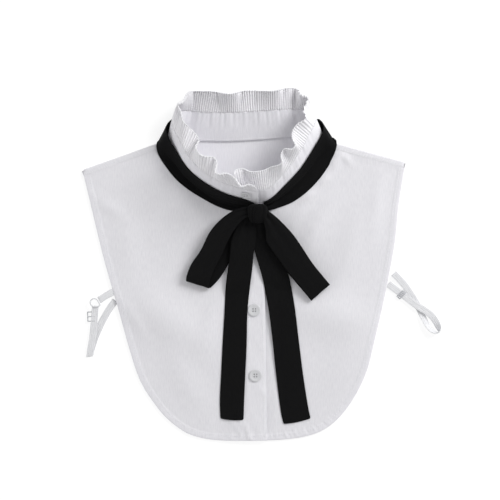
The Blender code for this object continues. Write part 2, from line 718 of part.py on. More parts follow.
def make_button(name, radius, stand_on):
    """A four-hole button with a raised rim. stand_on places a point given x, y and height."""
    rim = radius - BUTTON_RIM

    def place(x, y, side):
        raised = RIM_RISE * ease(math.hypot(x, y), rim - RIM_SLOPE, rim)
        return stand_on(x, y, (BUTTON_THICK + raised) * side)

    holes = [
        circle(sx * BUTTON_HOLE_PITCH, sy * BUTTON_HOLE_PITCH, BUTTON_HOLE, 6)
        for sx in (-1, 1)
        for sy in (-1, 1)
    ]
    rings = [circle(0, 0, rim, 14), circle(0, 0, rim - RIM_SLOPE, 14)]
    outer = circle(0, 0, radius, 18)
    panel(name, [outer] + holes, rings, place, PEARL, step=radius, roughness=0.3)


def make_buttons():
    for number, (x, y) in enumerate(BUTTONS, 1):
        top = max(
            left_front_point(x + p.x, y + p.y, 1).z for p in circle(0, 0, BUTTON_RADIUS, 12)
        )
        seat = Vector((x, y, top + GAP + 0.1))
        make_button(
            f"button_{number}",
            BUTTON_RADIUS,
            lambda bx, by, bz, seat=seat: seat + Vector((bx, by, bz)),
        )
    base, up, out = stand_frame(COLLAR_BUTTON_AT)
    side = up.cross(out)
    seat = base + up * COLLAR_BUTTON_HEIGHT + out * (CLOTH / 2 + GAP + 0.1)
    make_button(
        "button_collar",
        COLLAR_BUTTON_RADIUS,
        lambda bx, by, bz: seat + side * bx + up * by + out * bz,
    )


def make_strap(name, rows):
    centres = [Vector(row[:3]) for row in rows]
    knots = lengths_along(centres)
    headings = [math.radians(row[3]) for row in rows]

    def surface(at, width):
        centre = curve_at(knots, centres, at)
        heading = curve_at(knots, headings, at)
        reach = STRAP_WIDTH * (width - 0.5)
        return centre + Vector((math.cos(heading), math.sin(heading), 0)) * reach

    wall(name, surface, even(0, knots[-1], 3), (0, 0.5, 1), STRAP_THICK, ELASTIC, roughness=0.8)


def make_slider(name, x, y, z, heading):
    """A flat plastic bar slider round the strap, in four runs that share their corners."""
    turn = math.radians(heading)
    along = Vector((math.cos(turn), math.sin(turn), 0))
    across, up = Vector((-along.y, along.x, 0)), Vector((0, 0, 1))
    centre = Vector((x, y, z))
    half_deep = SLIDER_DEEP / 2
    hole = (STRAP_WIDTH / 2 + GAP + 0.2, STRAP_THICK / 2 + GAP + 0.1)
    outer = (hole[0] + SLIDER_WALL, hole[1] + SLIDER_WALL)
    points = []
    for end in (-half_deep, half_deep):
        for half_wide, half_high in (hole, outer):
            for sx, sz in ((-1, -1), (1, -1), (1, 1), (-1, 1)):
                points.append(
                    centre + along * end + across * half_wide * sx + up * half_high * sz
                )
    faces = []
    for i in range(4):
        j = (i + 1) % 4
        faces += [
            (i, j, 4 + j, 4 + i),
            (8 + j, 8 + i, 12 + i, 12 + j),
            (i, 8 + i, 8 + j, j),
            (4 + j, 12 + j, 12 + i, 4 + i),
        ]
    solid(name, points, faces, PEARL, roughness=0.3)


def make_straps():
    make_strap("strap_left", LEFT_STRAP)
    make_strap("strap_right", RIGHT_STRAP)
    for name, row in SLIDERS.items():
        make_slider(name, *row)


def main():
    for obj in list(bpy.data.objects):
        bpy.data.objects.remove(obj)
    make_panels()
    make_collar()
    make_ribbon()
    make_buttons()
    make_straps()


main()
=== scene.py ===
import math
from bisect import bisect_right

import bpy
import numpy as np
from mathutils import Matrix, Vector
from mathutils.geometry import delaunay_2d_cdt
from mathutils.kdtree import KDTree


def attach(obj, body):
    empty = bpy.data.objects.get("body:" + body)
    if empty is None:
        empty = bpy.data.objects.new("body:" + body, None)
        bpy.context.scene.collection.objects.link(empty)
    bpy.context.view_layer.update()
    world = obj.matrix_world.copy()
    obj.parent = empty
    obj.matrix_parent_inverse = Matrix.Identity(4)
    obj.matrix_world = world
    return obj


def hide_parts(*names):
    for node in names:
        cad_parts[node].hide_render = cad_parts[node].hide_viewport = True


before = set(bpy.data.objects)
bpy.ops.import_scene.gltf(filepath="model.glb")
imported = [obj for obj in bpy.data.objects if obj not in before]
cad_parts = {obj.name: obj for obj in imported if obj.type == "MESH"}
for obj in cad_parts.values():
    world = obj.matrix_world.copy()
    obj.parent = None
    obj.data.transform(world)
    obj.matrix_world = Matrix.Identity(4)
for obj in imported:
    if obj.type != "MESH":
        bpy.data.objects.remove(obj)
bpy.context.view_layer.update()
mm = 0.001  # sizes below are in millimetres, the table is z = 0, and the collar points to +Y
collection = bpy.context.scene.collection

# Shared layout, the same as the CAD model's

cloth = {"wall": 1.1, "gap": 0.3, "placketExtra": 0.5, "forwardSeam": 5.0}
stand = {"height": 29.5, "frill": 20.0, "overlapRise": 1.7, "liftReach": 28.0}
backMid = cloth["wall"] / 2
frontMid = cloth["wall"] * 1.5 + cloth["gap"]
foldRadius = (frontMid - backMid) / 2
placketLeft, placketRight, underlapLeft, neckReach = -3.0, 16.3, -5.0, 0.9

# foot x, y, z and the x, y of the seam between stand and frill, from the end underneath
collarRows = (
    (-16, 46.9, 3.2, -15, 64.8), (-3, 43.6, 3.2, -2, 61.6), (9, 43.3, 3.2, 9, 60),
    (20, 46.5, 3.4, 19, 62), (32, 55, 3.5, 29.5, 72), (51, 73, 3.2, 45, 91),
    (68, 95, 2.6, 58.5, 115), (76, 104.6, 2.3, 65.5, 129.5),
    (73.5, 110, 2.25, 62, 137.5), (63, 111.8, 2.25, 53, 140.6),
    (42, 112.3, 2.25, 36, 140.6), (10, 110.2, 2.25, 9, 138.8),
    (-21, 108.6, 2.25, -20, 137.4), (-51, 109.2, 2.25, -46.5, 137.8),
    (-71, 110.4, 2.25, -65.5, 139), (-80.5, 109.8, 2.25, -74.5, 135.5),
    (-84, 104.8, 2.3, -77.5, 128.5), (-77.5, 94, 2.6, -71.5, 112.5),
    (-64.5, 75.5, 3.2, -59.5, 91.5), (-47, 60, 3.6, -42.5, 75.8),
    (-24, 48, 4.1, -20, 64.6), (8.5, 41.8, 4.8, 8, 57.8),
)  # fmt: skip

# length along the foot, then x, y of the frill's free edge
frillEdgeRows = (
    (0, -16.0, 75.0), (4, -14.5, 78.7), (11, -7.4, 80.6), (19, -0.5, 77.8), (26, 6.5, 77.5),
    (33, 14.0, 79.0), (40, 20.5, 82.0), (47, 28.5, 84.0), (54, 32.0, 87.0), (62, 30.8, 93.5),
    (69, 34.0, 99.9), (77, 41.0, 99.7), (84, 45.0, 103.5), (91, 42.0, 110.5),
    (99, 42.5, 118.5), (106, 47.5, 125.0), (113, 55.5, 130.5), (118, 53.6, 139.0),
    (123, 57.6, 149.0), (128, 57.0, 152.5), (135, 50.5, 155.0), (142, 47.5, 160.5),
    (154, 36.5, 161.2), (170, 24.0, 158.4), (186, 11.0, 158.6), (202, -6.0, 158.6),
    (218, -19.5, 155.4), (233, -35.0, 157.8), (250, -50.0, 158.4), (263, -61.0, 157.4),
    (274, -66.5, 147.5), (283, -71.6, 144.0), (291, -68.8, 137.5), (298, -66.4, 128.0),
    (306, -61.0, 122.0), (314, -53.5, 114.5), (320, -50.8, 108.5), (326, -53.7, 101.5),
    (333, -49.4, 94.5), (340, -42.5, 92.3), (347, -35.5, 91.5), (353, -33.0, 85.0),
    (359, -34.6, 77.5), (365, -30.0, 75.0), (372, -23.5, 75.8), (381, -15.5, 71.5),
    (389, -8.8, 62.8), (397, -1.0, 64.8), (403, 5.5, 61.5), (408, 8.6, 54.0),
)  # fmt: skip

# length along the foot, height of the upper edge, width, and how far both edges stand off
neckRibbonRows = (
    (30, 9, 13, 1.5, 1.5), (40, 11.5, 17.5, 1.5, 1.8), (56, 13.2, 24, 1.6, 2.2),
    (83, 13, 26, 1.6, 2.8), (103, 13.5, 25.5, 1.8, 4), (113, 15.5, 23.5, 2.6, 6),
    (119, 18.8, 21.8, 4.4, 8.5), (126, 22.4, 21.1, 4.2, 6.8), (137, 24, 22.8, 3, 2.8),
    (200, 27, 26, 1.7, 1.7), (268, 25, 24.2, 2.4, 2.4), (279, 22, 22, 3.2, 6.5),
    (286, 19.8, 21.8, 4.4, 9), (293, 17, 22.5, 3, 7), (302, 15.6, 23.6, 1.8, 4),
    (320, 15, 22.5, 1.5, 3), (345, 15.5, 21, 1.5, 2.4), (372, 15, 20.5, 1.5, 2),
    (388, 13.5, 18.5, 1.5, 1.6), (400, 9, 13, 1.5, 1.5),
)  # fmt: skip

# x, y
rightSide = (
    (0, -190.8), (30, -189.7), (52, -187), (70, -181.5), (84, -172.3),
    (97, -158), (109, -138.5), (118, -117), (125, -88), (131.5, -61),
    (139.5, -22), (145, 10), (148.5, 45), (155.5, 88),
)  # fmt: skip
leftSide = (
    (0, -190.8), (-30, -190.3), (-49, -187.7), (-65, -182), (-83.5, -167.8),
    (-97.8, -150.4), (-110, -130), (-119.6, -102.3), (-131.7, -58.9), (-144.7, -14),
    (-152.8, 18.2), (-158.5, 42.3), (-167.5, 80),
)  # fmt: skip
shoulders = {
    "left": {"neck": Vector((-86.5, 107.6)), "tip": Vector((-167.9, 78.6)), "way": -1},
    "right": {"neck": Vector((79.0, 107.2)), "tip": Vector((155.3, 86.6)), "way": 1},
}

# Soft folds of the fronts: x, y, heading in degrees, half length, half width, height
softFolds = (
    (-80, -72, -36, 50, 21, 4.6), (-64, 46, 130, 26, 13, 2.4),
    (-92, 62, 128, 36, 24, 2.6), (-122, 4, 98, 30, 13, 1.4),
    (-66, -128, 118, 34, 14, 1.8), (-140, 42, -35, 18, 7, 1.2),
    (-40, -70, 72, 30, 9, 1.3), (-118, -66, -58, 26, 6, 1.1),
    (82, -66, -12, 40, 22, 4.2), (96, -112, 55, 36, 13, 2),
    (104, 8, 72, 44, 13, 2), (126, 40, 82, 38, 8, 1.5),
    (66, 22, 60, 30, 9, 1.6), (46, 34, 42, 22, 6, 1.3),
    (86, 88, 58, 9, 3, 2.2), (95.5, 92, -50, 8, 2.6, 1.8),
    (74, 70, 42, 8, 3.2, 2), (58, 54, 32, 9, 3.6, 2),
    (-100, 74, 24, 20, 8, 1), (26, -152, 84, 20, 5, 0.8),
    (-8, -172, 118, 16, 3.4, 1), (-14, -176, 122, 13, 2.6, 0.7),
    (12, -142, 128, 9, 2.6, 0.7),
)  # fmt: skip


def curveAt(knots, rows, at):
    last = len(knots) - 1
    i = max(0, min(last - 1, bisect_right(knots, at) - 1))

    def slope(k):
        low, high = max(k - 1, 0), min(k + 1, last)
        return (rows[high] - rows[low]) / (knots[high] - knots[low])

    span = knots[i + 1] - knots[i]
    t = (at - knots[i]) / span
    return (
        rows[i] * (2 * t**3 - 3 * t**2 + 1)
        + rows[i + 1] * (3 * t**2 - 2 * t**3)
        + slope(i) * (t**3 - 2 * t**2 + t) * span
        + slope(i + 1) * (t**3 - t**2) * span
    )


def lengthsAlong(points):
    total = [0.0]
    for a, b in zip(points, points[1:]):
        total.append(total[-1] + (b - a).length)
    return total


def even(start, end, step):
    count = max(1, round(abs(end - start) / step))
    return [start + (end - start) * i / count for i in range(count + 1)]


def smoothLine(points, step):
    points = [Vector(p) for p in points]
    knots = lengthsAlong(points)
    return [curveAt(knots, points, at) for at in even(0, knots[-1], step)]


def ease(value, low, high):
    t = max(0.0, min(1.0, (value - low) / (high - low)))
    return t * t * (3 - 2 * t)


def wander(x, seed):
    # a smooth uneven value between about -1 and 1
    return (
        math.sin(x * 1.0 + seed * 1.7) + math.sin(x * 0.53 + seed * 2.9) + math.sin(x * 1.71 + seed)
    ) / 2.4


footPoints = [Vector(row[:3]) for row in collarRows]
seamPlan = [Vector(row[3:]) for row in collarRows]
footKnots = lengthsAlong([point.xy for point in footPoints])
footLength = footKnots[-1]
edgeKnots = [row[0] for row in frillEdgeRows]
edgePlan = [Vector(row[1:]) for row in frillEdgeRows]
ribbonKnots = [row[0] for row in neckRibbonRows]
ribbonRows = [Vector(row[1:]) for row in neckRibbonRows]


def risen(start, plan, length):
    across = (plan - start.xy).length
    rise = math.sqrt(max(length**2 - across**2, (0.05 * length) ** 2))
    return Vector((plan.x, plan.y, start.z + rise))


def foot(at):
    return curveAt(footKnots, footPoints, at)


def seam(at):
    return risen(foot(at), curveAt(footKnots, seamPlan, at), stand["height"])


def frillEdge(at):
    return risen(seam(at), curveAt(edgeKnots, edgePlan, at), stand["frill"])


def standFrame(at):
    low, high = max(at - 1.5, 0), min(at + 1.5, footLength)
    along = (foot(high) + seam(high)) - (foot(low) + seam(low))
    up = (seam(at) - foot(at)).normalized()
    return foot(at), up, along.cross(up).normalized()


def outward(at):
    low, high = max(at - 1.5, 0), min(at + 1.5, footLength)
    along = foot(high) - foot(low)
    return Vector((along.y, -along.x, 0)).normalized()


def overlapRise(x):
    return stand["overlapRise"] * ease(x, -34.0, -9.0)


rightEnd, leftStart = 120, 290  # along the foot: the right front ends, the left front starts
neckLifts = [
    (foot(at).xy, foot(at).z - frontMid - (overlapRise(foot(at).x) if at > leftStart else 0))
    for at in even(0, footLength, 6)
    if at < rightEnd or at > leftStart
]


def lift(x, y):
    # how far the fronts rise off the back
    near, high = min(((p.x - x) ** 2 + (p.y - y) ** 2, value) for p, value in neckLifts)
    total = high * math.exp(-near / stand["liftReach"] ** 2)
    for foldX, foldY, heading, length, width, height in softFolds:
        dx, dy = x - foldX, y - foldY
        if abs(dx) + abs(dy) < 3 * (length + width):
            turn = math.radians(heading)
            along = dx * math.cos(turn) + dy * math.sin(turn)
            across = dy * math.cos(turn) - dx * math.sin(turn)
            total += height * math.exp(-((along / length) ** 2) - (across / width) ** 2)
    return max(total, -0.15)


def leftFrontTop(x, y):
    double = cloth["placketExtra"] * ease(x, placketLeft - 0.6, placketLeft + 0.4)
    return frontMid + cloth["wall"] / 2 + overlapRise(x) + lift(x, y) + double


def rightFrontTop(x, y):
    return frontMid + cloth["wall"] / 2 + lift(x, y)


def frontsTop(x, y):
    left, right = leftFrontTop(x, y), rightFrontTop(x, y)
    return right + (left - right) * (1 - ease(x, placketRight + 1.5, placketRight + 13))


# Materials


def toLinear(hexColour):
    parts = [int(hexColour[i : i + 2], 16) / 255 for i in (1, 3, 5)]
    return [v / 12.92 if v <= 0.04045 else ((v + 0.055) / 1.055) ** 2.4 for v in parts] + [1.0]


def addNode(tree, kind, inputs=None, **settings):
    # a node given as an input stands for its first output
    node = tree.nodes.new(kind)
    for key, value in settings.items():
        setattr(node, key, value)
    for key, value in (inputs or {}).items():
        if isinstance(value, bpy.types.Node):
            value = value.outputs[0]
        if isinstance(value, bpy.types.NodeSocket):
            tree.links.new(value, node.inputs[key])
        else:
            node.inputs[key].default_value = value
    return node


def newMaterial(name, roughness, specular=0.5, sheen=0.0):
    material = bpy.data.materials.new(name)
    material.use_nodes = True
    shader = material.node_tree.nodes["Principled BSDF"]
    shader.inputs["Roughness"].default_value = roughness
    shader.inputs["Specular IOR Level"].default_value = specular
    shader.inputs["Sheen Weight"].default_value = sheen
    shader.inputs["Sheen Roughness"].default_value = 0.5
    return material, material.node_tree, shader


def colourAndBump(tree, shader, factor, dark, light, bump=None):
    # colours between two shades, and a bump given as its height, strength and millimetres
    shades = {0: factor, 6: toLinear(dark), 7: toLinear(light)}
    colour = addNode(tree, "ShaderNodeMix", shades, data_type="RGBA")
    tree.links.new(colour.outputs[2], shader.inputs["Base Color"])
    if bump:
        height, strength, distance = bump
        inputs = {"Strength": strength, "Distance": distance * mm, "Height": height}
        tree.links.new(addNode(tree, "ShaderNodeBump", inputs).outputs[0], shader.inputs["Normal"])


# threads and slubs in millimetres; a real thread of 0.2 mm is drawn wider so that it shows
clothLooks = {
    "cottonPoplin": {  # bleached plain weave: matt, slightly cool white with faint upright slubs
        "light": "#EDECF0", "dark": "#E4E3E8", "thread": 1.1, "slubAcross": 0.9,
        "slubAlong": 7.0, "creaseSize": 9.0, "weave": 0.4, "slub": 0.55, "crease": 1.6,
        "roughness": 0.9, "specular": 0.2, "sheen": 0.08, "through": 0.25,
    },
    "cottonLawn": {  # the frill's thinner cotton: a little lighter, with hardly any slub
        "light": "#F0EFF2", "dark": "#E8E7EB", "thread": 0.5, "slubAcross": 1.2,
        "slubAlong": 6.0, "creaseSize": 5.0, "weave": 0.25, "slub": 0.3, "crease": 0.4,
        "roughness": 0.9, "specular": 0.2, "sheen": 0.08, "through": 0.4,
    },
    "blackCrepeRibbon": {  # dyed crepe weave: deep black, soft low sheen, fine grain
        "light": "#0D0D0E", "dark": "#070708", "thread": 0.9, "slubAcross": 0.8,
        "slubAlong": 5.0, "creaseSize": 8.0, "weave": 0.8, "slub": 0.6, "crease": 1.6,
        "roughness": 0.7, "specular": 0.1, "sheen": 0.02,
    },
    "wovenElastic": {  # covered rubber threads: ribs run along the strap
        "light": "#EEEEF0", "dark": "#DCDDE0", "thread": 0.9, "slubAcross": 0.7,
        "slubAlong": 9.0, "creaseSize": 4.0, "weave": 0.35, "slub": 0.3, "crease": 0.2,
        "roughness": 0.75, "specular": 0.3, "sheen": 0.05,
    },
}  # fmt: skip


def makeClothMaterial(name):
    look = clothLooks[name]
    material, tree, shader = newMaterial(name, look["roughness"], look["specular"], look["sheen"])
    shader.inputs["Subsurface Weight"].default_value = look.get("through", 0)
    shader.inputs["Subsurface Radius"].default_value = (1, 1, 1)
    shader.inputs["Subsurface Scale"].default_value = 1.2 * mm
    uv = addNode(tree, "ShaderNodeTexCoord").outputs["UV"]
    inMm = addNode(tree, "ShaderNodeVectorMath", {0: uv, 1: [1 / mm] * 3}, operation="MULTIPLY")
    axes = addNode(tree, "ShaderNodeSeparateXYZ", {0: inMm}).outputs
    waves = []
    for axis in (axes[0], axes[1]):
        turn = {0: axis, 1: 2 * math.pi / look["thread"]}
        turned = addNode(tree, "ShaderNodeMath", turn, operation="MULTIPLY")
        waves.append(addNode(tree, "ShaderNodeMath", {0: turned}, operation="SINE"))
    weave = addNode(tree, "ShaderNodeMath", {0: waves[0], 1: waves[1]}, operation="MULTIPLY")
    slubs = {0: inMm, 1: (1 / look["slubAcross"], 1 / look["slubAlong"], 1)}
    stretched = addNode(tree, "ShaderNodeVectorMath", slubs, operation="MULTIPLY")
    slub = addNode(tree, "ShaderNodeTexNoise", {"Vector": stretched, "Scale": 1.0, "Detail": 3.0})
    creases = {"Vector": inMm, "Scale": 1 / look["creaseSize"], "Detail": 2.0}
    crease = addNode(tree, "ShaderNodeTexNoise", creases)
    ramp = addNode(tree, "ShaderNodeMapRange", {"Value": slub, "From Min": 0.3, "From Max": 0.7})
    height = 0.0
    for pattern, source in (("weave", weave), ("slub", slub), ("crease", crease)):
        inputs = {0: source, 1: look[pattern], 2: height}
        height = addNode(tree, "ShaderNodeMath", inputs, operation="MULTIPLY_ADD")
    colourAndBump(tree, shader, ramp, look["dark"], look["light"], (height, 1.0, 0.12))
    return material


def makePlasticMaterial(name, light, dark, roughness, grain, coat):
    # moulded resin: smooth, faintly cloudy, with a soft clear gloss
    material, tree, shader = newMaterial(name, roughness)
    shader.inputs["Coat Weight"].default_value = coat
    place = addNode(tree, "ShaderNodeTexCoord").outputs["Object"]
    clouds = {"Vector": place, "Scale": 1 / (grain * mm), "Detail": 2.0}
    cloud = addNode(tree, "ShaderNodeTexNoise", clouds)
    colourAndBump(tree, shader, cloud, dark, light, (cloud, 0.3, 0.05))
    return material


def makeThreadMaterial(name, light, dark, twist):
    # spun cotton thread: matt, its twist drawn as fine slanting bands
    material, tree, shader = newMaterial(name, 0.8, 0.3, 0.1)
    place = addNode(tree, "ShaderNodeTexCoord").outputs["Object"]
    twists = {"Vector": place, "Scale": 1 / (twist * mm) / 6.0, "Distortion": 0.5}
    bands = addNode(tree, "ShaderNodeTexWave", twists, bands_direction="DIAGONAL")
    colourAndBump(tree, shader, bands.outputs["Fac"], dark, light)
    return material


poplin = makeClothMaterial("cottonPoplin")
lawn = makeClothMaterial("cottonLawn")
crepe = makeClothMaterial("blackCrepeRibbon")
elastic = makeClothMaterial("wovenElastic")
resin = makePlasticMaterial("castResin", "#D9D9DB", "#C9CACD", 0.38, 4.0, 0.15)
nylon = makePlasticMaterial("mouldedNylon", "#C6C7CB", "#B2B4B9", 0.35, 3.0, 0.2)
thread = makeThreadMaterial("cottonThread", "#F8F8F9", "#E6E6EA", 0.5)
# a dark grey copy of the thread material: painted shade for the button holes
paintedHoleShade = makeThreadMaterial("greyCottonThread", "#404147", "#2E2F34", 0.5)
print("materials ready")


# Meshes


def pieceTitle(node):
    first, *rest = node.split("_")
    return first + "".join(word.capitalize() for word in rest)


def newObject(name, points, faces, material, uvs=None, edges=()):
    mesh = bpy.data.meshes.new(name)
    mesh.from_pydata(np.asarray(points) * mm, edges, faces)
    if uvs is not None:
        layer = mesh.uv_layers.new(name="clothMm")
        corners = np.empty(len(mesh.loops), dtype=np.int32)
        mesh.loops.foreach_get("vertex_index", corners)
        layer.data.foreach_set("uv", (np.asarray(uvs) * mm)[corners].ravel())
    mesh.shade_smooth()
    mesh.materials.append(material)
    obj = bpy.data.objects.new(name, mesh)
    collection.objects.link(obj)
    return obj


def register(piece, node=None):
    # every piece rides on the one body, and may take over a node of the CAD model
    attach(piece, "root")
    if node:
        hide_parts(node)


def closedFaces(count, faces):
    # the faces above, the same ones below, and the rim between them
    upper = [tuple(face) for face in faces]
    lower = [tuple(count + i for i in reversed(face)) for face in upper]
    used = {edge for face in upper for edge in zip(face, face[1:] + face[:1])}
    rim = sorted((b, a, count + a, count + b) for a, b in used if (b, a) not in used)
    return upper + lower + rim, rim


def shellFaces(rows, columns):
    # both sides of a grid and its four rims, as vertex numbers
    count, faces = rows * columns, []
    for i in range(rows - 1):
        for j in range(columns - 1):
            a, b = i * columns + j, (i + 1) * columns + j
            faces += [(a, b, b + 1, a + 1), (count + a + 1, count + b + 1, count + b, count + a)]
        a, b = i * columns, (i + 1) * columns
        faces.append((count + a, count + b, b, a))
        a, b = a + columns - 1, b + columns - 1
        faces.append((a, b, count + b, count + a))
    for j in range(columns - 1):
        a, b = j, count - columns + j
        faces += [(a + 1, count + a + 1, count + a, a), (b, count + b, count + b + 1, b + 1)]
    return faces


def gridNormals(points):
    normal = np.cross(np.gradient(points, axis=0), np.gradient(points, axis=1))
    return normal / np.maximum(np.linalg.norm(normal, axis=2, keepdims=True), 1e-9)


def runs(points, axis):
    # how far along each row or column of a grid its points lie
    steps = np.linalg.norm(np.diff(points, axis=axis), axis=2)
    return np.insert(np.cumsum(steps, axis=axis), 0, 0, axis=axis)


def makeShell(
    name, surface, lengths, widths, thick, material, ridge=None, edge=0.5, turned=False
):  # fmt: skip
    # a sheet of cloth on both sides of surface(length, width), thinner along its edges
    points = np.array([[surface(u, v) for v in widths] for u in lengths])
    if ridge:
        offsets = np.array([[ridge(u, v) for v in widths] for u in lengths])
        points = points + gridNormals(points) * offsets[..., None]
    across, along = runs(points, 1), runs(points, 0)
    fromEdge = np.minimum(across, across[:, -1:] - across)
    fromEnd = np.minimum(along, along[-1:, :] - along)
    thin = np.clip(np.minimum(fromEdge, fromEnd) / edge, 0, 1)
    half = thick / 2 * (0.4 + 0.6 * np.sqrt(1 - (1 - thin) ** 2))
    offset = gridNormals(points) * half[..., None]
    both = np.concatenate([(points + offset).reshape(-1, 3), (points - offset).reshape(-1, 3)])
    uv = np.stack([along, across] if turned else [across, along], axis=2).reshape(-1, 2)
    faces = shellFaces(len(lengths), len(widths))
    return newObject(name, both, faces, material, np.concatenate([uv, uv]))


def edgeWidths(count, near=0.02):
    # even places across a strip, with one more close to each edge
    return [0, near, *even(2.5 * near, 1 - 2.5 * near, 1 / count), 1 - near, 1]


def evaluated(obj):
    # the object with its modifiers as a plain mesh
    deps = bpy.context.evaluated_depsgraph_get()
    mesh = bpy.data.meshes.new_from_object(obj.evaluated_get(deps), depsgraph=deps)
    obj.modifiers.clear()
    old, obj.data = obj.data, mesh
    bpy.data.meshes.remove(old)
    mesh.name = obj.name
    return obj


def newTree(name, sizes):
    # a tree with named sizes, given in millimetres, and a material
    tree = bpy.data.node_groups.new(name, "GeometryNodeTree")
    for side in ("INPUT", "OUTPUT"):
        tree.interface.new_socket("Geometry", in_out=side, socket_type="NodeSocketGeometry")
    for label, size in sizes.items():
        socket = tree.interface.new_socket(label, in_out="INPUT", socket_type="NodeSocketFloat")
        socket.default_value = size * mm
    tree.interface.new_socket("Material", in_out="INPUT", socket_type="NodeSocketMaterial")
    return tree, addNode(tree, "NodeGroupInput").outputs


def finishTree(tree, given, last):
    real = addNode(tree, "GeometryNodeRealizeInstances", {0: last})
    smooth = addNode(tree, "GeometryNodeSetShadeSmooth", {0: real})
    dressed = {"Geometry": smooth, "Material": given["Material"]}
    addNode(tree, "NodeGroupOutput", {0: addNode(tree, "GeometryNodeSetMaterial", dressed)})
    return tree


def useTree(obj, tree, material):
    modifier = obj.modifiers.new(tree.name, "NODES")
    modifier.node_group = tree
    socket = next(item for item in tree.interface.items_tree if item.name == "Material")
    modifier[socket.identifier] = material
    return evaluated(obj)


# Stitches: a thread runs over the cloth and dives in at each end
stitchSizes = {"length": 2.1, "pitch": 2.7, "radius": 0.2}


def makeStitchTree():
    sizes = {label.capitalize(): size for label, size in stitchSizes.items()}
    tree, given = newTree("stitchRow", sizes)
    curve = addNode(tree, "GeometryNodeMeshToCurve", {"Mesh": given["Geometry"]})
    spacing = {"Curve": curve, "Length": given["Pitch"]}
    spaced = addNode(tree, "GeometryNodeResampleCurve", spacing, mode="LENGTH")
    ball = {"Segments": 6, "Rings": 5, "Radius": 1.0}
    bead = addNode(tree, "GeometryNodeMeshUVSphere", ball)
    half = addNode(tree, "ShaderNodeMath", {0: given["Length"], 1: 0.5}, operation="MULTIPLY")
    halves = {0: given["Radius"], 1: given["Radius"], 2: half}
    size = addNode(tree, "ShaderNodeCombineXYZ", halves)
    shaped = addNode(tree, "GeometryNodeTransform", {"Geometry": bead, "Scale": size})
    tangent = addNode(tree, "GeometryNodeInputTangent")
    turn = addNode(tree, "FunctionNodeAlignRotationToVector", {"Vector": tangent}, axis="Z")
    parts = {"Points": spaced, "Instance": shaped, "Rotation": turn}
    return finishTree(tree, given, addNode(tree, "GeometryNodeInstanceOnPoints", parts))


stitchTree = makeStitchTree()


def makeStitches(name, lines):
    points, edges = [], []
    for line in lines:
        first = len(points)
        points += line
        edges += [(i, i + 1) for i in range(first, len(points) - 1)]
    rows = newObject(name, points, [], thread, edges=edges)
    register(useTree(rows, stitchTree, thread))


# Panels

hem = {"width": 6.0, "extra": 0.34, "stitch": 4.7, "groove": 0.1, "step": 1.2}
panels = {
    "step": 3.0, "rim": 1.7, "lineStep": 2.2, "nearLine": 1.6, "lineToRim": 0.7,
    "thin": 0.55, "edgeThick": 1.05, "placketThick": 0.15,
    "hemStep": 1.35, "nearHem": 11.0, "hemRows": (0.45, 1.6, 3, 4.3, 4.7, 5.1, 5.9, 6.6, 8, 9.8),
}  # fmt: skip


def inside(p, loop):
    odd = False
    for a, b in zip(loop, loop[1:] + loop[:1]):
        if (a.y > p.y) != (b.y > p.y):
            odd ^= p.x < a.x + (b.x - a.x) * (p.y - a.y) / (b.y - a.y)
    return odd


def treeOf(points):
    tree = KDTree(len(points))
    for i, point in enumerate(points):
        tree.insert((point.x, point.y, 0), i)
    tree.balance()
    return tree


def away(tree, p):
    return tree.find((p.x, p.y, 0))[2]


def makePanel(node, loop, hemLine, topOf, bottomOf, extraLines=()):
    # cloth inside the loop, on a fine mesh with rows along its hem
    hemFine = smoothLine(hemLine, 0.6)
    rimTree, hemTree, hemLengths = treeOf(loop), treeOf(hemFine), lengthsAlong(hemFine)
    extra = [p for line in extraLines for p in line]
    lineTree = treeOf(extra or [Vector((1e6, 0))])
    points, row = list(loop), smoothLine(hemLine, panels["hemStep"])
    for distance in panels["hemRows"]:
        for a, b in zip(row, row[1:]):
            along = (b - a).normalized()
            for side in (-1, 1):
                p = (a + b) / 2 + Vector((-along.y, along.x)) * distance * side
                clear = away(rimTree, p) > min(distance, panels["rim"]) * 0.85
                if clear and inside(p, loop):
                    points.append(p)
    points += [p for p in extra if inside(p, loop) and away(rimTree, p) > panels["lineToRim"]]
    xs, ys = [p.x for p in loop], [p.y for p in loop]
    for row, y in enumerate(even(min(ys), max(ys), panels["step"] * 0.87)):
        for x in even(min(xs), max(xs), panels["step"]):
            p = Vector((x + panels["step"] / 2 * (row % 2), y))
            limits = (rimTree, "rim"), (hemTree, "nearHem"), (lineTree, "nearLine")
            if all(away(tree, p) > panels[limit] for tree, limit in limits) and inside(p, loop):
                points.append(p)
    count = len(loop)
    edges = [(i, (i + 1) % count) for i in range(count)]
    plan, _, faces, *_ = delaunay_2d_cdt(points, edges, [], 1, 1e-5)
    top, bottom = [], []
    for p in plan:
        _, index, near = hemTree.find((p.x, p.y, 0))
        high = topOf(p.x, p.y, near, hemLengths[index])
        top.append(high)
        bottom.append(bottomOf(p.x, p.y, near, high))
    total = len(plan)
    faces, rim = closedFaces(total, faces)
    flat = [(p.x, p.y) for p in plan]
    panel = newObject(pieceTitle(node), top + bottom, faces, poplin, flat * 2)

    # crisp edges along the seams, soft ones along the folded hem
    far = {i for i, p in enumerate(plan) if away(hemTree, p) > 1}
    seams = {frozenset((a, b)) for b, a, *_ in rim if a in far and b in far}
    sharp = panel.data.attributes.new("sharp_edge", "BOOLEAN", "EDGE")
    for edge in panel.data.edges:
        sharp.data[edge.index].value = frozenset(i % total for i in edge.vertices) in seams
    register(panel, node)


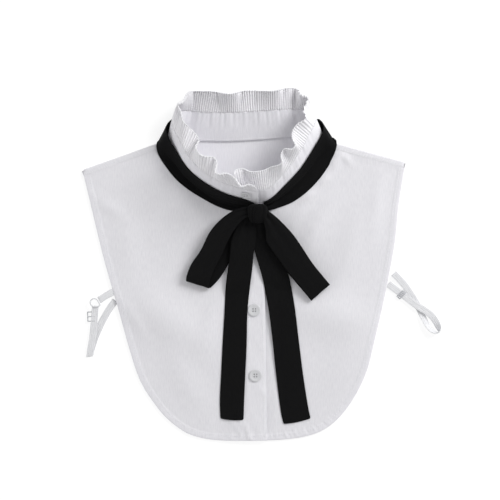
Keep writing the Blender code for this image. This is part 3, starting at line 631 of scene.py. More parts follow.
def hemRelief(near, at, puckers):
    # the folded hem stands up, its stitch line sinks in, and the cloth puckers beside it
    start = hem["width"] - hem["step"] / 2
    fold = hem["extra"] * (1 - ease(near, start, start + hem["step"]))
    roll = -0.35 * (1 - ease(near, 0, 1.2)) ** 2
    groove = -hem["groove"] * math.exp(-(((near - hem["stitch"]) / 0.45) ** 2))
    pull = (1 - ease(near, 4.0, 11.0)) * ease(near, 0.2, 3.0)
    wave = wander(at / 0.8 + near * 0.3, 3) * 0.7 + wander(at / 2.6, 8) * 0.4
    return fold + roll + groove + puckers * pull * wave


def bottomPull(x):
    # the hem is drawn up most at the bottom, right of the middle
    return 0.12 + 0.75 * math.exp(-(((x + 8) / 16) ** 2)) + 0.6 * math.exp(-(((x - 45) / 34) ** 2))


def placketRelief(x, y):
    # two rows of stitching sink into the folded placket, whose left edge leans a little
    left = placketLeft + 1 - (y + 187) / 223
    relief = 0.0
    for line in (left + 1.1, placketRight - 3.0):
        relief -= 0.13 * math.exp(-(((x - line) / 0.5) ** 2))
    soft = 0.22 * wander(y / 8.0 + x / 6.0, 6) * ease(x, placketLeft + 1, placketLeft + 6)
    edge = -0.85 * ease(x, placketRight - 3.6, placketRight + 0.6)
    return relief + edge + soft * (1 - ease(x, placketRight - 5, placketRight))


def shoulderOut(side):
    line = (side["tip"] - side["neck"]).normalized()
    return Vector((-line.y, line.x)) * side["way"]


def shoulderAt(x, y):
    # the nearer shoulder, its outward direction, and how far past its fold this place is
    side = shoulders["left" if x < 0 else "right"]
    out = shoulderOut(side)
    return side, out, (Vector((x, y)) - side["neck"]).dot(out)


def backAt(x, y):
    # the same for the back, where the neck is far from any fold
    side, out, beyond = shoulderAt(x, y)
    return out, -20.0 if (x - side["neck"].x) * side["way"] < -0.5 else beyond


def rolled(x, y, beyond, out, depth):
    # the back turns over the shoulder and comes down in front to its seam
    turn, reach = min(beyond / foldRadius, math.pi), foldRadius + backMid - depth
    base = Vector((x, y)) - out * beyond
    plan = base + out * (reach * math.sin(turn) - max(0, beyond - math.pi * foldRadius))
    return Vector((plan.x, plan.y, backMid + foldRadius - reach * math.cos(turn)))


def backTop(x, y, near, at):
    out, beyond = backAt(x, y)
    high = cloth["wall"] - 0.05 * (1 + math.sin(x / 17 + 1.3) * math.sin(y / 14))
    relief = hemRelief(near, at, 0.12) if beyond < -8 else 0
    z = max(panels["thin"] + 0.4 * (high - 1.0) + relief, 0.35)
    return Vector((x, y, z)) if beyond <= 0 else rolled(x, y, beyond, out, z)


def backBottom(x, y, near, high):
    out, beyond = backAt(x, y)
    return Vector((x, y, 0.0)) if beyond <= 0 else rolled(x, y, beyond, out, 0)


def shoulderRise(x, y):
    # the fronts come up level with the back where they are sewn to it
    _, _, beyond = shoulderAt(x, y)
    return 1 - ease(-cloth["forwardSeam"] - beyond, 0.4, 4.5)


def frontTop(level):
    def place(x, y, near, at):
        relief = hemRelief(near, at, bottomPull(x) if y < -120 else 0.12)
        if level is leftFrontTop:
            relief += placketRelief(x, y) * ease(near, 1.0, 4.0)
        high = level(x, y) - hem["extra"] + relief
        seamTop = backMid + 2 * foldRadius + cloth["wall"] / 2 - 0.02
        return Vector((x, y, high + (seamTop - high) * shoulderRise(x, y)))

    return place


def frontBottom(x, y, near, high):
    thick = panels["thin"] + (panels["edgeThick"] - panels["thin"]) * (1 - ease(near, 5.6, 6.4))
    inPlacket = ease(x, placketLeft - 0.6, placketLeft + 0.4)
    inPlacket *= 1 - ease(x, placketRight + 0.5, placketRight + 1.5)
    return Vector((x, y, high.z - thick - panels["placketThick"] * inPlacket))


def shoulderLine(side, shift, step):
    out = shoulderOut(side)
    return smoothLine((side["neck"] + out * shift, side["tip"] + out * shift), step)


def panelLoops():
    step = panels["rim"]
    right, left = smoothLine(rightSide, step), smoothLine(leftSide, step)
    leftShoulder, rightShoulder = shoulders["left"], shoulders["right"]
    bottom = rightSide[0][1]
    beyond = math.pi * foldRadius + cloth["forwardSeam"]
    inset = 0.996
    back = [p * inset for p in right[:-1]] + [rightShoulder["tip"]]
    back += list(reversed(shoulderLine(rightShoulder, beyond, step)))
    back.append(rightShoulder["neck"] + Vector((0.2, 0)))
    back += [foot(at).xy + Vector((0, neckReach)) for at in even(129, 278, 2.5)]
    back.append(leftShoulder["neck"] - Vector((0.2, 0)))
    back += shoulderLine(leftShoulder, beyond, step)
    back += [leftShoulder["tip"]] + [p * inset for p in reversed(left[1:-1])]
    backHem = [p * inset for p in reversed(left[1:])] + [p * inset for p in right]

    seamLine = -(cloth["forwardSeam"] + 0.04)
    neck = [foot(at).xy + outward(at).xy * 0.4 for at in even(296, footLength, 2.5)]
    low, high = Vector((placketRight + 1.0, bottom + 0.4)), Vector((placketRight - 2.6, neck[-1].y))
    frontLeft = smoothLine((low, high), step) + list(reversed(neck))
    frontLeft += shoulderLine(leftShoulder, seamLine, step)
    leftHem = smoothLine((low, left[0]), step)[:-1] + left
    frontLeft += list(reversed(leftHem[1:-1]))

    neck = [foot(at).xy + outward(at).xy * 0.4 for at in even(14, 114, 2.5)]
    low, high = Vector((underlapLeft + 1.5, bottom + 1.0)), Vector((underlapLeft, neck[0].y))
    rightHem = [p for p in right[:-1] if p.x > low.x + 2.5]
    frontRight = list(rightHem) + list(reversed(shoulderLine(rightShoulder, seamLine, step)))
    frontRight += list(reversed(neck)) + smoothLine((high, low), step)
    return (back, backHem), (frontLeft, leftHem), (frontRight, rightHem)


def makePanels():
    (back, backHem), (left, leftHem), (right, rightHem) = panelLoops()
    step = panels["lineStep"]
    # x of the foot of each row of points, its lean to the neck and its upper end
    placketRows = [
        smoothLine(((edge + offset + 1, -188), (edge + offset - lean, top)), step)
        for edge, lean, top, offsets in (
            (placketLeft, 0, 37, (-0.7, -0.1, 0.5, 1.6)),
            (placketRight, 2.6, 38, (-3.6, -3.0, -2.4, -0.7)),
        )
        for offset in offsets
    ]
    foldRows = [
        shoulderLine(side, foldRadius * math.pi * turn / 6, step)[1:-1]
        for side in shoulders.values()
        for turn in range(7)
    ]
    makePanel("back_panel", back, backHem, backTop, backBottom, foldRows)
    makePanel("front_left", left, leftHem, frontTop(leftFrontTop), frontBottom, placketRows)
    makePanel("front_right", right, rightHem, frontTop(rightFrontTop), frontBottom)

    def laid(line, level):
        return [Vector((p.x, p.y, level(p.x, p.y))) for p in line]

    def besideHem(line, level):
        line, found = smoothLine(line, 2.0), []
        for a, b in zip(line, line[1:]):
            along = (b - a).normalized()
            found.append(a + Vector((-along.y, along.x)) * hem["stitch"])
        return laid(found, lambda x, y: level(x, y) + 0.02 - hem["groove"] * 0.5)

    def onPlacket(x, y):
        return leftFrontTop(x, y) + placketRelief(x, y) + 0.1 - hem["extra"]

    rows = [besideHem(leftHem[::-1], leftFrontTop), besideHem(rightHem, rightFrontTop)]
    for x, lean in ((placketLeft + 1.1, 0), (placketRight - 3.0, 2.34)):
        rows.append(laid(smoothLine(((x + 1, -186.5), (x - lean, 36)), 2.0), onPlacket))
    for side in shoulders.values():
        line = shoulderLine(side, 1.3 - cloth["forwardSeam"], 2.0)
        rows.append(laid(line[2:-2], lambda x, y: frontMid + 0.66))
    makeStitches("panelStitches", rows)


makePanels()
print("panels ready")

# Collar stand and frill

# stitch rows: place up the stand, and how far off its middle
standSizes = {
    "thick": 1.05, "pucker": 0.46, "puckerPitch": 5.2,
    "stitchRows": ((0.05, 0.5), (0.965, 0.6), (0.965, -0.6)),
}  # fmt: skip
frillSizes = {
    "pleats": 172, "columns": 8, "depthAtSeam": 0.5, "depthAtEdge": 0.95, "thick": 0.42,
    "bead": 0.5, "heights": (-0.03, 0.06, 0.2, 0.36, 0.52, 0.68, 0.84, 1.0),
}  # fmt: skip


def standSurface(at, height):
    return foot(at).lerp(seam(at), height)


def standRidge(at, height):
    # gathers below the frill and a sunk row of stitching near its foot
    wave = wander(at * 2 * math.pi / standSizes["puckerPitch"] * 0.6, 5)
    gather = standSizes["pucker"] * wave * ease(height, 0.25, 0.95)
    slow = 0.35 * wander(at / 11, 2) * math.sin(math.pi * height)
    rows = -0.12 * math.exp(-(((height - 0.05) / 0.012) ** 2))
    return gather + slow + rows


def frillSurface(at, height):
    return seam(at).lerp(frillEdge(at), height)


def pleatPhase(at):
    # which pleat this place is in: finer on the right of the back, wider on its left
    share = at / footLength
    return frillSizes["pleats"] * (share + 0.012 * math.sin(2 * math.pi * (share - 0.12) * 2))


def pleatFullness(at):
    # the pleats are pressed flatter along the front than at the back
    return 0.6 + 0.7 * ease(at, 112, 134) * (1 - ease(at, 272, 292))


def makeFrillTree():
    sizes = {
        "Depth At Seam": frillSizes["depthAtSeam"], "Depth At Edge": frillSizes["depthAtEdge"],
    }  # fmt: skip
    tree, given = newTree("pleatedFrill", sizes)
    pleat, high, full = (
        addNode(tree, "GeometryNodeInputNamedAttribute", {"Name": name}, data_type="FLOAT")
        for name in ("pleat", "height", "full")
    )
    turn = addNode(tree, "ShaderNodeMath", {0: pleat, 1: 2 * math.pi}, operation="MULTIPLY")
    first = addNode(tree, "ShaderNodeMath", {0: turn}, operation="SINE")
    triple = addNode(tree, "ShaderNodeMath", {0: turn, 1: 3.0}, operation="MULTIPLY")
    third = addNode(tree, "ShaderNodeMath", {0: triple}, operation="SINE")
    sharper = {0: third, 1: -0.1, 2: first}
    crease = addNode(tree, "ShaderNodeMath", sharper, operation="MULTIPLY_ADD")
    depths = {"Value": high, "To Min": given["Depth At Seam"], "To Max": given["Depth At Edge"]}
    depth = addNode(tree, "ShaderNodeMapRange", depths)
    fuller = addNode(tree, "ShaderNodeMath", {0: full, 1: depth}, operation="MULTIPLY")
    amount = addNode(tree, "ShaderNodeMath", {0: crease, 1: fuller}, operation="MULTIPLY")
    normal = addNode(tree, "GeometryNodeInputNormal")
    offset = addNode(tree, "ShaderNodeVectorMath", {0: normal, "Scale": amount}, operation="SCALE")
    moved = {"Geometry": given["Geometry"], "Offset": offset}
    return finishTree(tree, given, addNode(tree, "GeometryNodeSetPosition", moved))


def makeBeadTree():
    # the overlocked edge: a round cord of thread that follows a line
    tree, given = newTree("overlockedEdge", {"Radius": frillSizes["bead"]})
    curve = addNode(tree, "GeometryNodeMeshToCurve", {"Mesh": given["Geometry"]})
    circles = {"Resolution": 7, "Radius": given["Radius"]}
    ring = addNode(tree, "GeometryNodeCurvePrimitiveCircle", circles)
    swept = {"Curve": curve, "Profile Curve": ring, "Fill Caps": True}
    return finishTree(tree, given, addNode(tree, "GeometryNodeCurveToMesh", swept))


def makeStand():
    heights = [0, 0.012, 0.035, 0.05, 0.065, 0.1, *even(0.16, 0.9, 0.062), 0.95, 0.98, 0.995]
    band = makeShell(
        "collarStand", standSurface, even(0, footLength, 1.2), heights, standSizes["thick"], poplin,
        ridge=standRidge, edge=0.6, turned=True,
    )  # fmt: skip
    rows = [
        [
            standSurface(at, height) + standFrame(at)[2] * (offset + standRidge(at, height))
            for at in even(2, footLength - 2, 1.5)
        ]
        for height, offset in standSizes["stitchRows"]
    ]
    register(band, "collar_band")
    makeStitches("collarStitches", rows)


def makeFrill():
    columns, heights = frillSizes["pleats"] * frillSizes["columns"], frillSizes["heights"]
    places = [(footLength * i / columns, height) for i in range(columns + 1) for height in heights]
    wide = len(heights)
    faces = [
        (a, a + wide, a + wide + 1, a + 1)
        for i in range(columns)
        for a in range(i * wide, (i + 1) * wide - 1)
    ]
    points = [frillSurface(at, height) for at, height in places]
    uvs = [(height * stand["frill"], at) for at, height in places]
    frill = newObject("collarFrill", points, faces, lawn, uvs)
    fields = {
        "pleat": [pleatPhase(at) for at, _ in places],
        "height": [max(height, 0) for _, height in places],
        "full": [pleatFullness(at) for at, _ in places],
    }
    for label, values in fields.items():
        frill.data.attributes.new(label, "FLOAT", "POINT").data.foreach_set("value", values)
    useTree(frill, makeFrillTree(), lawn)
    edge = [frill.data.vertices[i].co / mm for i in range(wide - 1, len(places), wide)]
    shell = frill.modifiers.new("thickness", "SOLIDIFY")
    shell.thickness, shell.offset = frillSizes["thick"] * mm, 0.0
    evaluated(frill).data.shade_smooth()
    for label in fields:
        if label in frill.data.attributes:
            frill.data.attributes.remove(frill.data.attributes[label])

    steps = [(i, i + 1) for i in range(columns)]
    bead = newObject("frillEdging", edge, [], thread, edges=steps)
    useTree(bead, makeBeadTree(), thread)
    register(frill, "collar_frill")
    register(bead)


makeStand()
makeFrill()
print("collar ready")

# Ribbon and bow

ribbonSizes = {"thick": 0.75, "rest": 0.25, "corner": 1.7}


def neckRibbonPoint(at, width):
    upper, wide, offUpper, offLower = curveAt(ribbonKnots, ribbonRows, at)
    height = upper - wide * width
    off = offUpper + (offLower - offUpper) * width
    base, up, out = standFrame(at)
    if height >= 0:
        point = base + up * height + out * off
    else:
        point = base + outward(at) * (-height) + out * off
        resting = frontsTop(point.x, point.y) + ribbonSizes["rest"]
        point.z = max(point.z - off * 0.5 * min(1, -height / 6), resting)
    point.z = max(point.z, ribbonSizes["thick"] / 2 + 0.05)
    return point


def neckRibbonRidge(at, width):
    # lengthwise creases that gather towards the knot
    left, right = ease(at, 335, 400), 1 - ease(at, 30, 95)
    near = max(left, right)
    crease = sum(
        depth * math.exp(-(((width - place - 0.06 * math.sin(at / 17 + place * 9)) / 0.05) ** 2))
        for place, depth in ((0.3, -0.8), (0.52, 0.7), (0.74, -0.6))
    )
    return 0.9 * near * crease + 0.25 * wander(at / 9 + width * 2, 4) * math.sin(math.pi * width)


# one edge x, y, the other edge x, y, height (0 lies on the panels), crown
strips = {
    "bow_loop_left": (
        (-1.5, 43.5, -1, 34, 18, 0.3), (-14, 40.5, -7.6, 29.8, 17.6, 0.8),
        (-28, 31.5, -15, 21, 16.5, 1.4), (-40, 18, -22.5, 8.5, 15, 1.6),
        (-49, 0, -28.5, -5, 13, 1.4), (-58.5, -14, -36, -19.5, 11.2, 1.2),
        (-63.3, -26, -40.6, -32.5, 9.6, 0.8), (-63.8, -31, -41, -37.8, 7.6, 0.5),
        (-62, -29, -39, -37.5, 5.9, 0.2), (-53, -14, -29, -26.5, 5.6, 0),
        (-44, 0, -21.8, -14, 5.6, 0), (-34, 13, -15, 2, 5.9, 0),
        (-22, 24, -10, 14, 7, 0), (-12, 31.5, -5.5, 24.5, 8.2, 0),
    ),
    "bow_loop_right": (
        (16, 41, 13.5, 28, 18.2, 0.3), (26, 33, 15.6, 20.5, 17.4, 0.7),
        (34.5, 24.8, 16.4, 9.4, 16, 1), (43.3, 15, 21.8, 0.5, 14.6, 1),
        (51, 4, 29, -9.3, 13, 0.9), (62, -12.7, 38.5, -22.5, 11.3, 0.8),
        (73, -26.4, 51, -37.9, 9.7, 0.6), (79, -33.6, 60.3, -49.8, 8.4, 0.3),
        (79.9, -34.6, 61.2, -50.8, 7.3, 0), (79, -33.4, 60.2, -49.4, 6.2, 0),
        (72, -27, 50.5, -38, 6.7, 0), (61, -14, 38, -23, 8.2, 0),
        (50, 3, 29, -9.5, 9.7, 0), (42, 14, 22, 0, 10.8, 0),
        (33, 23, 17.5, 9, 11.6, 0), (25.5, 31, 17.8, 20.5, 12.8, 0),
        (18.9, 37, 18.8, 29.5, 14, 0),
    ),
    "bow_tail_left": (
        (-3.5, 38, 1.5, 33.5, 14, 0.2), (-7.6, 31, 3, 28.6, 11.8, 0.4),
        (-11.8, 24.8, 4.6, 26.4, 10.2, 0.4), (-15, 19, 6.6, 20, 10, 0.6),
        (-18.6, 9, 5.8, 9, 10.4, 0.6), (-20, -4, 3.6, -4, 9.6, 0.5),
        (-22, -18, 2.4, -18, 7.3, 0.4), (-24.2, -35, 0.2, -35, 6.1, 0.3),
        (-25.6, -62, -2.6, -62, 0, 0.3), (-27.5, -95, -3.4, -95, 0, 0.3),
        (-29, -125, -4.7, -125, 0, 0.3), (-30.2, -150, -5.8, -150, 0, 0.2),
        (-29.6, -168.5, -6.4, -169.8, 0, 0.2),
    ),
    "bow_tail_right": (
        (3, 32, 18, 32, 11.5, 0.2), (2.6, 21, 19, 21, 9.6, 0.5),
        (4, 2, 27, 0, 8.7, 0.5), (8, -13, 33, -11, 7.2, 0.4),
        (12.4, -28, 38.8, -26, 6.2, 0.3), (18, -56.6, 44.4, -55, 0, 0.3),
        (22.1, -87, 48.6, -89, 0, 0.3), (26.2, -126, 53.3, -126, 0, 0.3),
        (30.8, -162, 58.4, -158.5, 0, 0.2), (33.6, -174, 60.6, -168.4, 0, 0.2),
    ),
}  # fmt: skip
# how each strip creases: place across, depth, and how far along it fades
stripCreases = {
    "bow_loop_left": ((0.25, -1, 30), (0.5, 1, 26), (0.74, -1.1, 42)),
    "bow_loop_right": ((0.2, -1, 32), (0.42, 1, 40), (0.68, -1.1, 30)),
    "bow_tail_left": ((0.3, 1, 28), (0.56, -1.1, 34), (0.8, 0.7, 24)),
    "bow_tail_right": ((0.25, -0.9, 24), (0.5, 0.9, 34), (0.75, -0.7, 26)),
}
def makeStrip(node):
    rows = [Vector(row) for row in strips[node]]
    middles = [Vector(((row[0] + row[2]) / 2, (row[1] + row[3]) / 2, row[4])) for row in rows]
    knots = lengthsAlong(middles)
    looped = "loop" in node

    def surface(at, width):
        ax, ay, bx, by, high, crown = curveAt(knots, rows, at)
        if not looped:  # rounded corners and a slightly bowed cut end
            left = min(ribbonSizes["corner"], knots[-1] - at)
            inset = ribbonSizes["corner"] - math.sqrt(
                max(0, ribbonSizes["corner"] ** 2 - (ribbonSizes["corner"] - left) ** 2)
            )
            width = 0.5 + (width - 0.5) * (1 - 2 * inset / math.hypot(bx - ax, by - ay))
        x, y = ax + (bx - ax) * width, ay + (by - ay) * width
        if not looped:
            y -= 0.9 * math.sin(math.pi * width) * ease(at, knots[-1] - 14, knots[-1])
        near = [frontsTop(x + d, y) for d in (-2.4, -1.2, 0, 1.2, 2.4)]
        resting = sum(near) / len(near) + ribbonSizes["rest"]
        return Vector((x, y, max(high, resting) + crown * math.sin(math.pi * width)))

    def ridge(at, width):
        near = at if not looped else min(at, knots[-1] - at)
        crease = sum(
            depth * math.exp(-near / fade) * math.exp(-(((width - place) / 0.07) ** 2))
            for place, depth, fade in stripCreases[node]
        )
        slow = 0.3 * wander(at / 13 + width * 1.5, len(node)) * math.sin(math.pi * width)
        return crease + slow

    lengths = even(0, knots[-1] - 1.6, 1.6) + [knots[-1] - d for d in (1.1, 0.7, 0.35, 0.12, 0.0)]
    piece = makeShell(
        pieceTitle(node), surface, lengths, edgeWidths(16), ribbonSizes["thick"], crepe,
        ridge=ridge, edge=0.5,
    )  # fmt: skip
    register(piece, node)


knot = {
    "centre": Vector((7.5, 36.3, 18.2)), "tilt": math.radians(28), "half": (10.0, 10.4, 3.7),
    "creases": ((-0.82, 0.5, 0.06), (-0.56, 0.9, 0.06), (-0.32, 0.6, 0.07), (0.5, 0.6, 0.12)),
    "taper": 0.14,
}  # fmt: skip


def makeKnot():
    around, along = 120, 44
    tilt = Vector((0, math.cos(knot["tilt"]), math.sin(knot["tilt"])))
    across = Vector((1, 0, 0))
    out = across.cross(tilt)
    halfX, halfY, halfZ = knot["half"]
    points, uvs = [], []
    for i in range(1, along):
        place = -math.cos(math.pi * i / along)
        place = math.copysign(abs(place) ** 0.8, place)
        roundOff = (1 - abs(place) ** 3.2) ** (1 / 3.2)
        for j in range(around):
            turn = 2 * math.pi * j / around
            x = math.copysign(abs(math.cos(turn)) ** 0.7, math.cos(turn))
            z = math.copysign(abs(math.sin(turn)) ** 0.8, math.sin(turn))
            dent = sum(
                depth * math.exp(-(((x - at - 0.12 * place * (1 + at)) / width) ** 2))
                for at, depth, width in knot["creases"]
            )
            high = (halfZ * z - dent * ease(abs(z), 0.15, 0.6) * math.copysign(1, z)) * roundOff
            wide = halfX * (1 + knot["taper"] * (place - 0.3)) * x * roundOff
            points.append(knot["centre"] + across * wide + tilt * halfY * place + out * high)
            uvs.append((halfX * x, halfY * place * 1.4))
    points += [knot["centre"] - tilt * halfY, knot["centre"] + tilt * halfY]
    uvs += [(0, -15), (0, 15)]
    rings, low, high = along - 1, len(points) - 2, len(points) - 1
    faces = []
    for j in range(around):
        k = (j + 1) % around
        faces += [(low, j, k), (high, (rings - 1) * around + k, (rings - 1) * around + j)]
        for i in range(rings - 1):
            a, b = i * around, (i + 1) * around
            faces.append((a + j, b + j, b + k, a + k))
    piece = newObject("bowKnot", points, faces, crepe, uvs)
    register(piece, "bow_knot")


def makeNeckRibbon():
    piece = makeShell(
        "neckRibbon", neckRibbonPoint, even(ribbonKnots[0], ribbonKnots[-1], 1.8), edgeWidths(18),
        ribbonSizes["thick"], crepe, ridge=neckRibbonRidge, edge=0.5,
    )  # fmt: skip
    register(piece, "neck_ribbon")


makeNeckRibbon()
for stripNode in strips:
    makeStrip(stripNode)
makeKnot()
print("ribbon ready")

# Buttons

buttonSizes = {
    "radius": 6.3, "rim": 1.7, "thick": 1.05, "rise": 0.25, "round": 0.5, "hole": 0.62,
    "pitch": 1.2, "thread": 0.12,
}  # fmt: skip
buttonPlaces = {"button_1": (4.2, 5.0), "button_2": (4.2, -60.0), "button_3": (5.4, -125.4)}
collarButton = {"at": 388.5, "height": 20.5, "radius": 5.2}


def circle(x, y, radius, count):
    turns = [2 * math.pi * i / count for i in range(count)]
    return [Vector((x + radius * math.cos(t), y + radius * math.sin(t))) for t in turns]


def addTube(points, faces, path, radius, sides=6):
    # adds a capped tube along a path to these points and faces
    first, last = len(points), len(path) - 1
    for i, point in enumerate(path):
        along = (path[min(i + 1, last)] - path[max(i - 1, 0)]).normalized()
        side = along.cross(Vector((0.13, 0.21, 1))).normalized()
        up = side.cross(along)
        for j in range(sides):
            turn = 2 * math.pi * j / sides
            points.append(point + (side * math.cos(turn) + up * math.sin(turn)) * radius)
    end = first + last * sides
    for a in range(first, end, sides):
        for j in range(sides):
            k = (j + 1) % sides
            faces.append((a + k, a + j, a + sides + j, a + sides + k))
    faces += [tuple(range(first, first + sides)), tuple(end + j for j in reversed(range(sides)))]


def makeButton(node, radius, standOn):
    rim, size = radius - buttonSizes["rim"], buttonSizes
    centres = [Vector((x, y)) * size["pitch"] for x in (-1, 1) for y in (-1, 1)]
    loops = [circle(0, 0, radius, 44)] + [circle(*centre, size["hole"], 14) for centre in centres]
    rings = [rim + d for d in (-0.8, -0.5, -0.2, 0.1, 0.5)]
    rings += [radius - d for d in (0.5, 0.25, 0.08)]
    points, edges = [], []
    for loop in loops:
        first = len(points)
        points += loop
        edges += [(first + i, first + (i + 1) % len(loop)) for i in range(len(loop))]
    points += [p for ring in rings for p in circle(0, 0, ring, 44)]
    points += [p for centre in centres for p in circle(*centre, size["hole"] + 0.16, 14)]
    points += circle(0, 0, rim - 1.7, 12) + [Vector((0, 0))]
    plan, _, faces, *_ = delaunay_2d_cdt(points, edges, [], 2, 1e-5)

    def fromHole(p):
        return min((p - centre).length for centre in centres)

    def middle(face):
        return sum((plan[i] for i in face), Vector((0, 0))) / 3

    faces = [face for face in faces if fromHole(middle(face)) > size["hole"] * 0.97]
    top, bottom = [], []
    for p in plan:
        turned = max(0.0, min(1.0, (p.length - radius + size["round"]) / size["round"]))
        drop = size["round"] * (1 - math.sqrt(1 - turned**2))
        high = size["thick"] + size["rise"] * ease(p.length, rim - 0.9, rim + 0.2) - drop
        high -= 0.12 * (1 - ease(fromHole(p), size["hole"], size["hole"] + 0.2))
        top.append(standOn(p.x, p.y, high))
        bottom.append(standOn(p.x, p.y, drop * 0.8))
    faces, _ = closedFaces(len(plan), faces)
    register(newObject(pieceTitle(node), top + bottom, faces, resin), node)

    points, faces = [], []
    for side in (-1, 1):
        path = []
        for t in even(-1, 1, 0.2):
            z = size["thick"] + 0.25 * (1 - t**4) - 1.3 * ease(abs(t), 0.86, 1.0)
            path.append(standOn(size["pitch"] * t, size["pitch"] * side, z))
        addTube(points, faces, path, size["thread"])
    strands = len(faces)
    for centre in centres:  # dark grey plugs of thread fill the holes: painted shade for the shadow deep in each hole
        path = [standOn(centre.x, centre.y, z) for z in (0.1, 0.6)]
        addTube(points, faces, path, size["hole"] - 0.04, 12)
    threadAndHoleShade = newObject(pieceTitle(node) + "Thread", points, faces, thread)
    # the real thread keeps the white material, and the plugs in the holes take the painted hole
    # shade
    threadAndHoleShade.data.materials.append(paintedHoleShade)
    for face in threadAndHoleShade.data.polygons[strands:]:
        face.material_index = 1
    register(threadAndHoleShade)


def makeButtons():
    for node, (x, y) in buttonPlaces.items():
        radius = buttonSizes["radius"]
        level = max(leftFrontTop(x + p.x, y + p.y) for p in circle(0, 0, radius, 12))
        seat = Vector((x, y, level - hem["extra"] + 0.05))
        makeButton(node, radius, lambda x, y, z, seat=seat: seat + Vector((x, y, z)))
    base, up, out = standFrame(collarButton["at"])
    side = up.cross(out)
    seat = base + up * collarButton["height"] + out * (cloth["wall"] / 2 + 0.35)
    radius = collarButton["radius"]
    makeButton("button_collar", radius, lambda x, y, z: seat + side * x + up * y + out * z)


makeButtons()
print("buttons ready")

# Elastic straps and their sliders

strapSizes = {"width": 6.8, "thick": 0.9, "rib": 0.12, "ribs": 4}
# x, y, z of the middle, heading of the width and how far it is tipped up, in degrees
strapRows = {
    "strap_left": (
        (-154.6, -56.4, 3.3, 180, 0), (-155.2, -66, 2.9, 181, 0),
        (-157, -85, 2.7, 185, 0), (-159.4, -100, 2.4, 187, 0),
        (-160.2, -106.4, 1.6, 188, 0), (-158.6, -100, 0.85, 186, 0),
        (-154.2, -86, 0.8, 170, 0), (-147, -70, 0.8, 154, 0),
        (-139.4, -57, 0.8, 148, 0), (-134.5, -50.5, 0.8, 144, 0),
    ),
    "strap_left_tab": (
        (-135.6, -41.2, 2.4, 118, 0), (-143.5, -45.4, 2.9, 118, 0),
        (-150.9, -50, 3.6, 118, 0),
    ),
    "strap_right": (
        (137.9, -33.6, 1.6, 46, 0), (144.2, -38.6, 1.9, 48, 0),
        (151, -43.6, 2.2, 50, 0), (159.8, -50.4, 2.8, 51, 0),
        (166.5, -55.4, 3.2, 51, 0), (173.4, -59.6, 3.4, 50, 0),
        (179.8, -64.2, 3.4, 46, 2), (184.4, -69.6, 3.3, 40, 8),
        (187.6, -75.2, 3.4, 34, 24), (189.2, -79.4, 3.8, 34, 54),
        (189, -82, 4, 38, 86), (186.4, -82.8, 3.9, 42, 106),
        (181.8, -80.6, 3.4, 44, 124), (177.6, -75.8, 2.9, 44, 136),
        (174.4, -69.8, 2.3, 44, 148), (171.8, -64.2, 1.4, 44, 166),
        (168.6, -57.6, 0.9, 42, 180), (164.6, -50.4, 0.9, 42, 180),
        (159.6, -42.4, 1.3, 42, 180), (154.6, -35.4, 2, 42, 180),
        (149.6, -29.6, 2.6, 42, 180), (143.5, -23.4, 2.8, 42, 180),
    ),
}  # fmt: skip
# the left strap's edge turns over into a small eye: x, y, z
strapEye = (
    (-159.2, -50.4, 3.6), (-156.8, -48.6, 3.8), (-153.6, -49, 4), (-150.9, -52.4, 4.2),
    (-150, -55.2, 4.2), (-153.8, -56.4, 4.2), (-158.2, -55.6, 4), (-159.4, -53, 3.8),
    (-159.2, -50.4, 3.6),
)  # fmt: skip
# x, y, z, heading along the strap, half length along it
sliderPlaces = {
    "slider_left": (-158, -66.5, 1.8, 92, 4.6), "slider_right": (151.2, -44.6, 2.2, 135, 1.9),
}  # fmt: skip
sliderSizes = {"halfWide": 4.2, "halfHigh": 1.08, "bar": 0.55}


def makeStrap(node):
    rows = strapRows[node]
    centres = [Vector(row[:3]) for row in rows]
    knots = lengthsAlong(centres)
    turns = [Vector(row[3:]) * math.pi / 180 for row in rows]

    def surface(at, width):
        heading, tipped = curveAt(knots, turns, at)
        flat = Vector((math.cos(heading), math.sin(heading), 0)) * math.cos(tipped)
        across = flat + Vector((0, 0, math.sin(tipped)))
        return curveAt(knots, centres, at) + across * strapSizes["width"] * (width - 0.5)

    def ridge(at, width):
        return strapSizes["rib"] * math.cos(2 * math.pi * strapSizes["ribs"] * width)

    piece = makeShell(
        pieceTitle(node), surface, even(0, knots[-1], 1.0), even(0, 1, 1 / 20), strapSizes["thick"],
        elastic, ridge=ridge, edge=0.5,
    )  # fmt: skip
    register(piece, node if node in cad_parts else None)


def makeStrapEye():
    eye = [Vector(point) for point in strapEye]
    knots = lengthsAlong(eye)

    def surface(at, width):
        return curveAt(knots, eye, at) + Vector((0, 0, 2.4 * (width - 0.5)))

    lengths, widths = even(0, knots[-1], 0.6), even(0, 1, 1 / 8)
    piece = makeShell("strapLeftEye", surface, lengths, widths, 1.5, elastic, edge=0.7)
    register(piece)


def makeSlider(node):
    # a rounded frame round the strap, open on both sides of its middle bar
    x, y, z, heading, half = sliderPlaces[node]
    turn, size = math.radians(heading), sliderSizes
    along, centre = Vector((math.cos(turn), math.sin(turn), 0)), Vector((x, y, z))
    across, up = Vector((-along.y, along.x, 0)) * size["halfWide"], Vector((0, 0, size["halfHigh"]))
    points, faces = [], []
    for end, level in ((-1, -1), (-1, 1), (0, 1), (1, -1), (1, 1)):
        start, rise = centre + along * half * end, up * level
        bowed = [(t, math.sqrt(max(0, 1 - abs(t) ** 6))) for t in even(-1, 1, 0.1)]
        path = [start + across * t + rise * bow for t, bow in bowed]
        addTube(points, faces, path, size["bar"], 8)
    for side in (-1, 1):
        path = [centre + along * half * t + across * side for t in even(-1, 1, 0.2)]
        addTube(points, faces, path, size["bar"], 8)
    register(newObject(pieceTitle(node), points, faces, nylon), node)


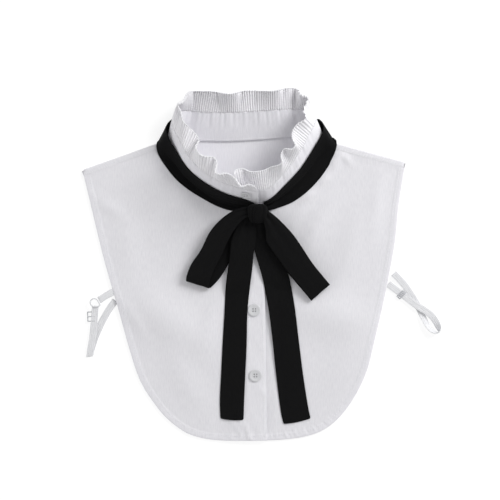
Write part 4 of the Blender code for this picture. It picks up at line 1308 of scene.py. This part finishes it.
for strapNode in strapRows:
    makeStrap(strapNode)
makeStrapEye()
for sliderNode in sliderPlaces:
    makeSlider(sliderNode)
print("straps ready")

# Floor, light and camera

studio = {
    "floorColour": "#FAFAFA", "floorGlow": 0.8, "floorAlbedo": 0.34, "sky": 0.55,
    "floorReach": 3000.0, "floorDrop": 0.3,
    "keyPower": 36.0, "keySize": 1.0, "keyPlace": (1.5, 1.2, 1.25),
    "fillPower": 5.5, "fillSize": 1.2, "fillPlace": (-1.6, -0.6, 0.55),
    "cameraHeight": 4.0, "fieldWidth": 0.5,
}  # fmt: skip


def makeStudio():
    reach, low = studio["floorReach"], -studio["floorDrop"]
    corners = [(x * reach, y * reach, low) for x, y in ((-1, -1), (1, -1), (1, 1), (-1, 1))]
    material, _, shader = newMaterial("paleFloor", 0.95, 0.1)
    tint = toLinear(studio["floorColour"])
    shader.inputs["Base Color"].default_value = [v * studio["floorAlbedo"] for v in tint[:3]] + [1]
    shader.inputs["Emission Color"].default_value = tint
    shader.inputs["Emission Strength"].default_value = studio["floorGlow"]
    newObject("floor", corners, [(0, 1, 2, 3)], material)

    world = bpy.data.worlds.new("studio")
    world.use_nodes = True
    sky = world.node_tree.nodes["Background"].inputs
    sky["Color"].default_value, sky["Strength"].default_value = (1, 1, 1, 1), studio["sky"]
    bpy.context.scene.world = world

    for name in ("key", "fill"):
        light = bpy.data.lights.new(name + "Light", "AREA")
        light.energy, light.size = studio[name + "Power"], studio[name + "Size"]
        lamp = bpy.data.objects.new(name + "Light", light)
        lamp.location = studio[name + "Place"]
        lamp.rotation_euler = (-lamp.location).to_track_quat("-Z", "Y").to_euler()
        collection.objects.link(lamp)

    lens = bpy.data.cameras.new("camera")
    lens.lens = lens.sensor_width * studio["cameraHeight"] / studio["fieldWidth"]
    lens.clip_end = 20
    camera = bpy.data.objects.new("camera", lens)
    camera.location = (0, 0, studio["cameraHeight"])
    collection.objects.link(camera)
    bpy.context.scene.camera = camera
    bpy.context.scene.view_settings.view_transform = "Standard"


makeStudio()
print("studio ready")
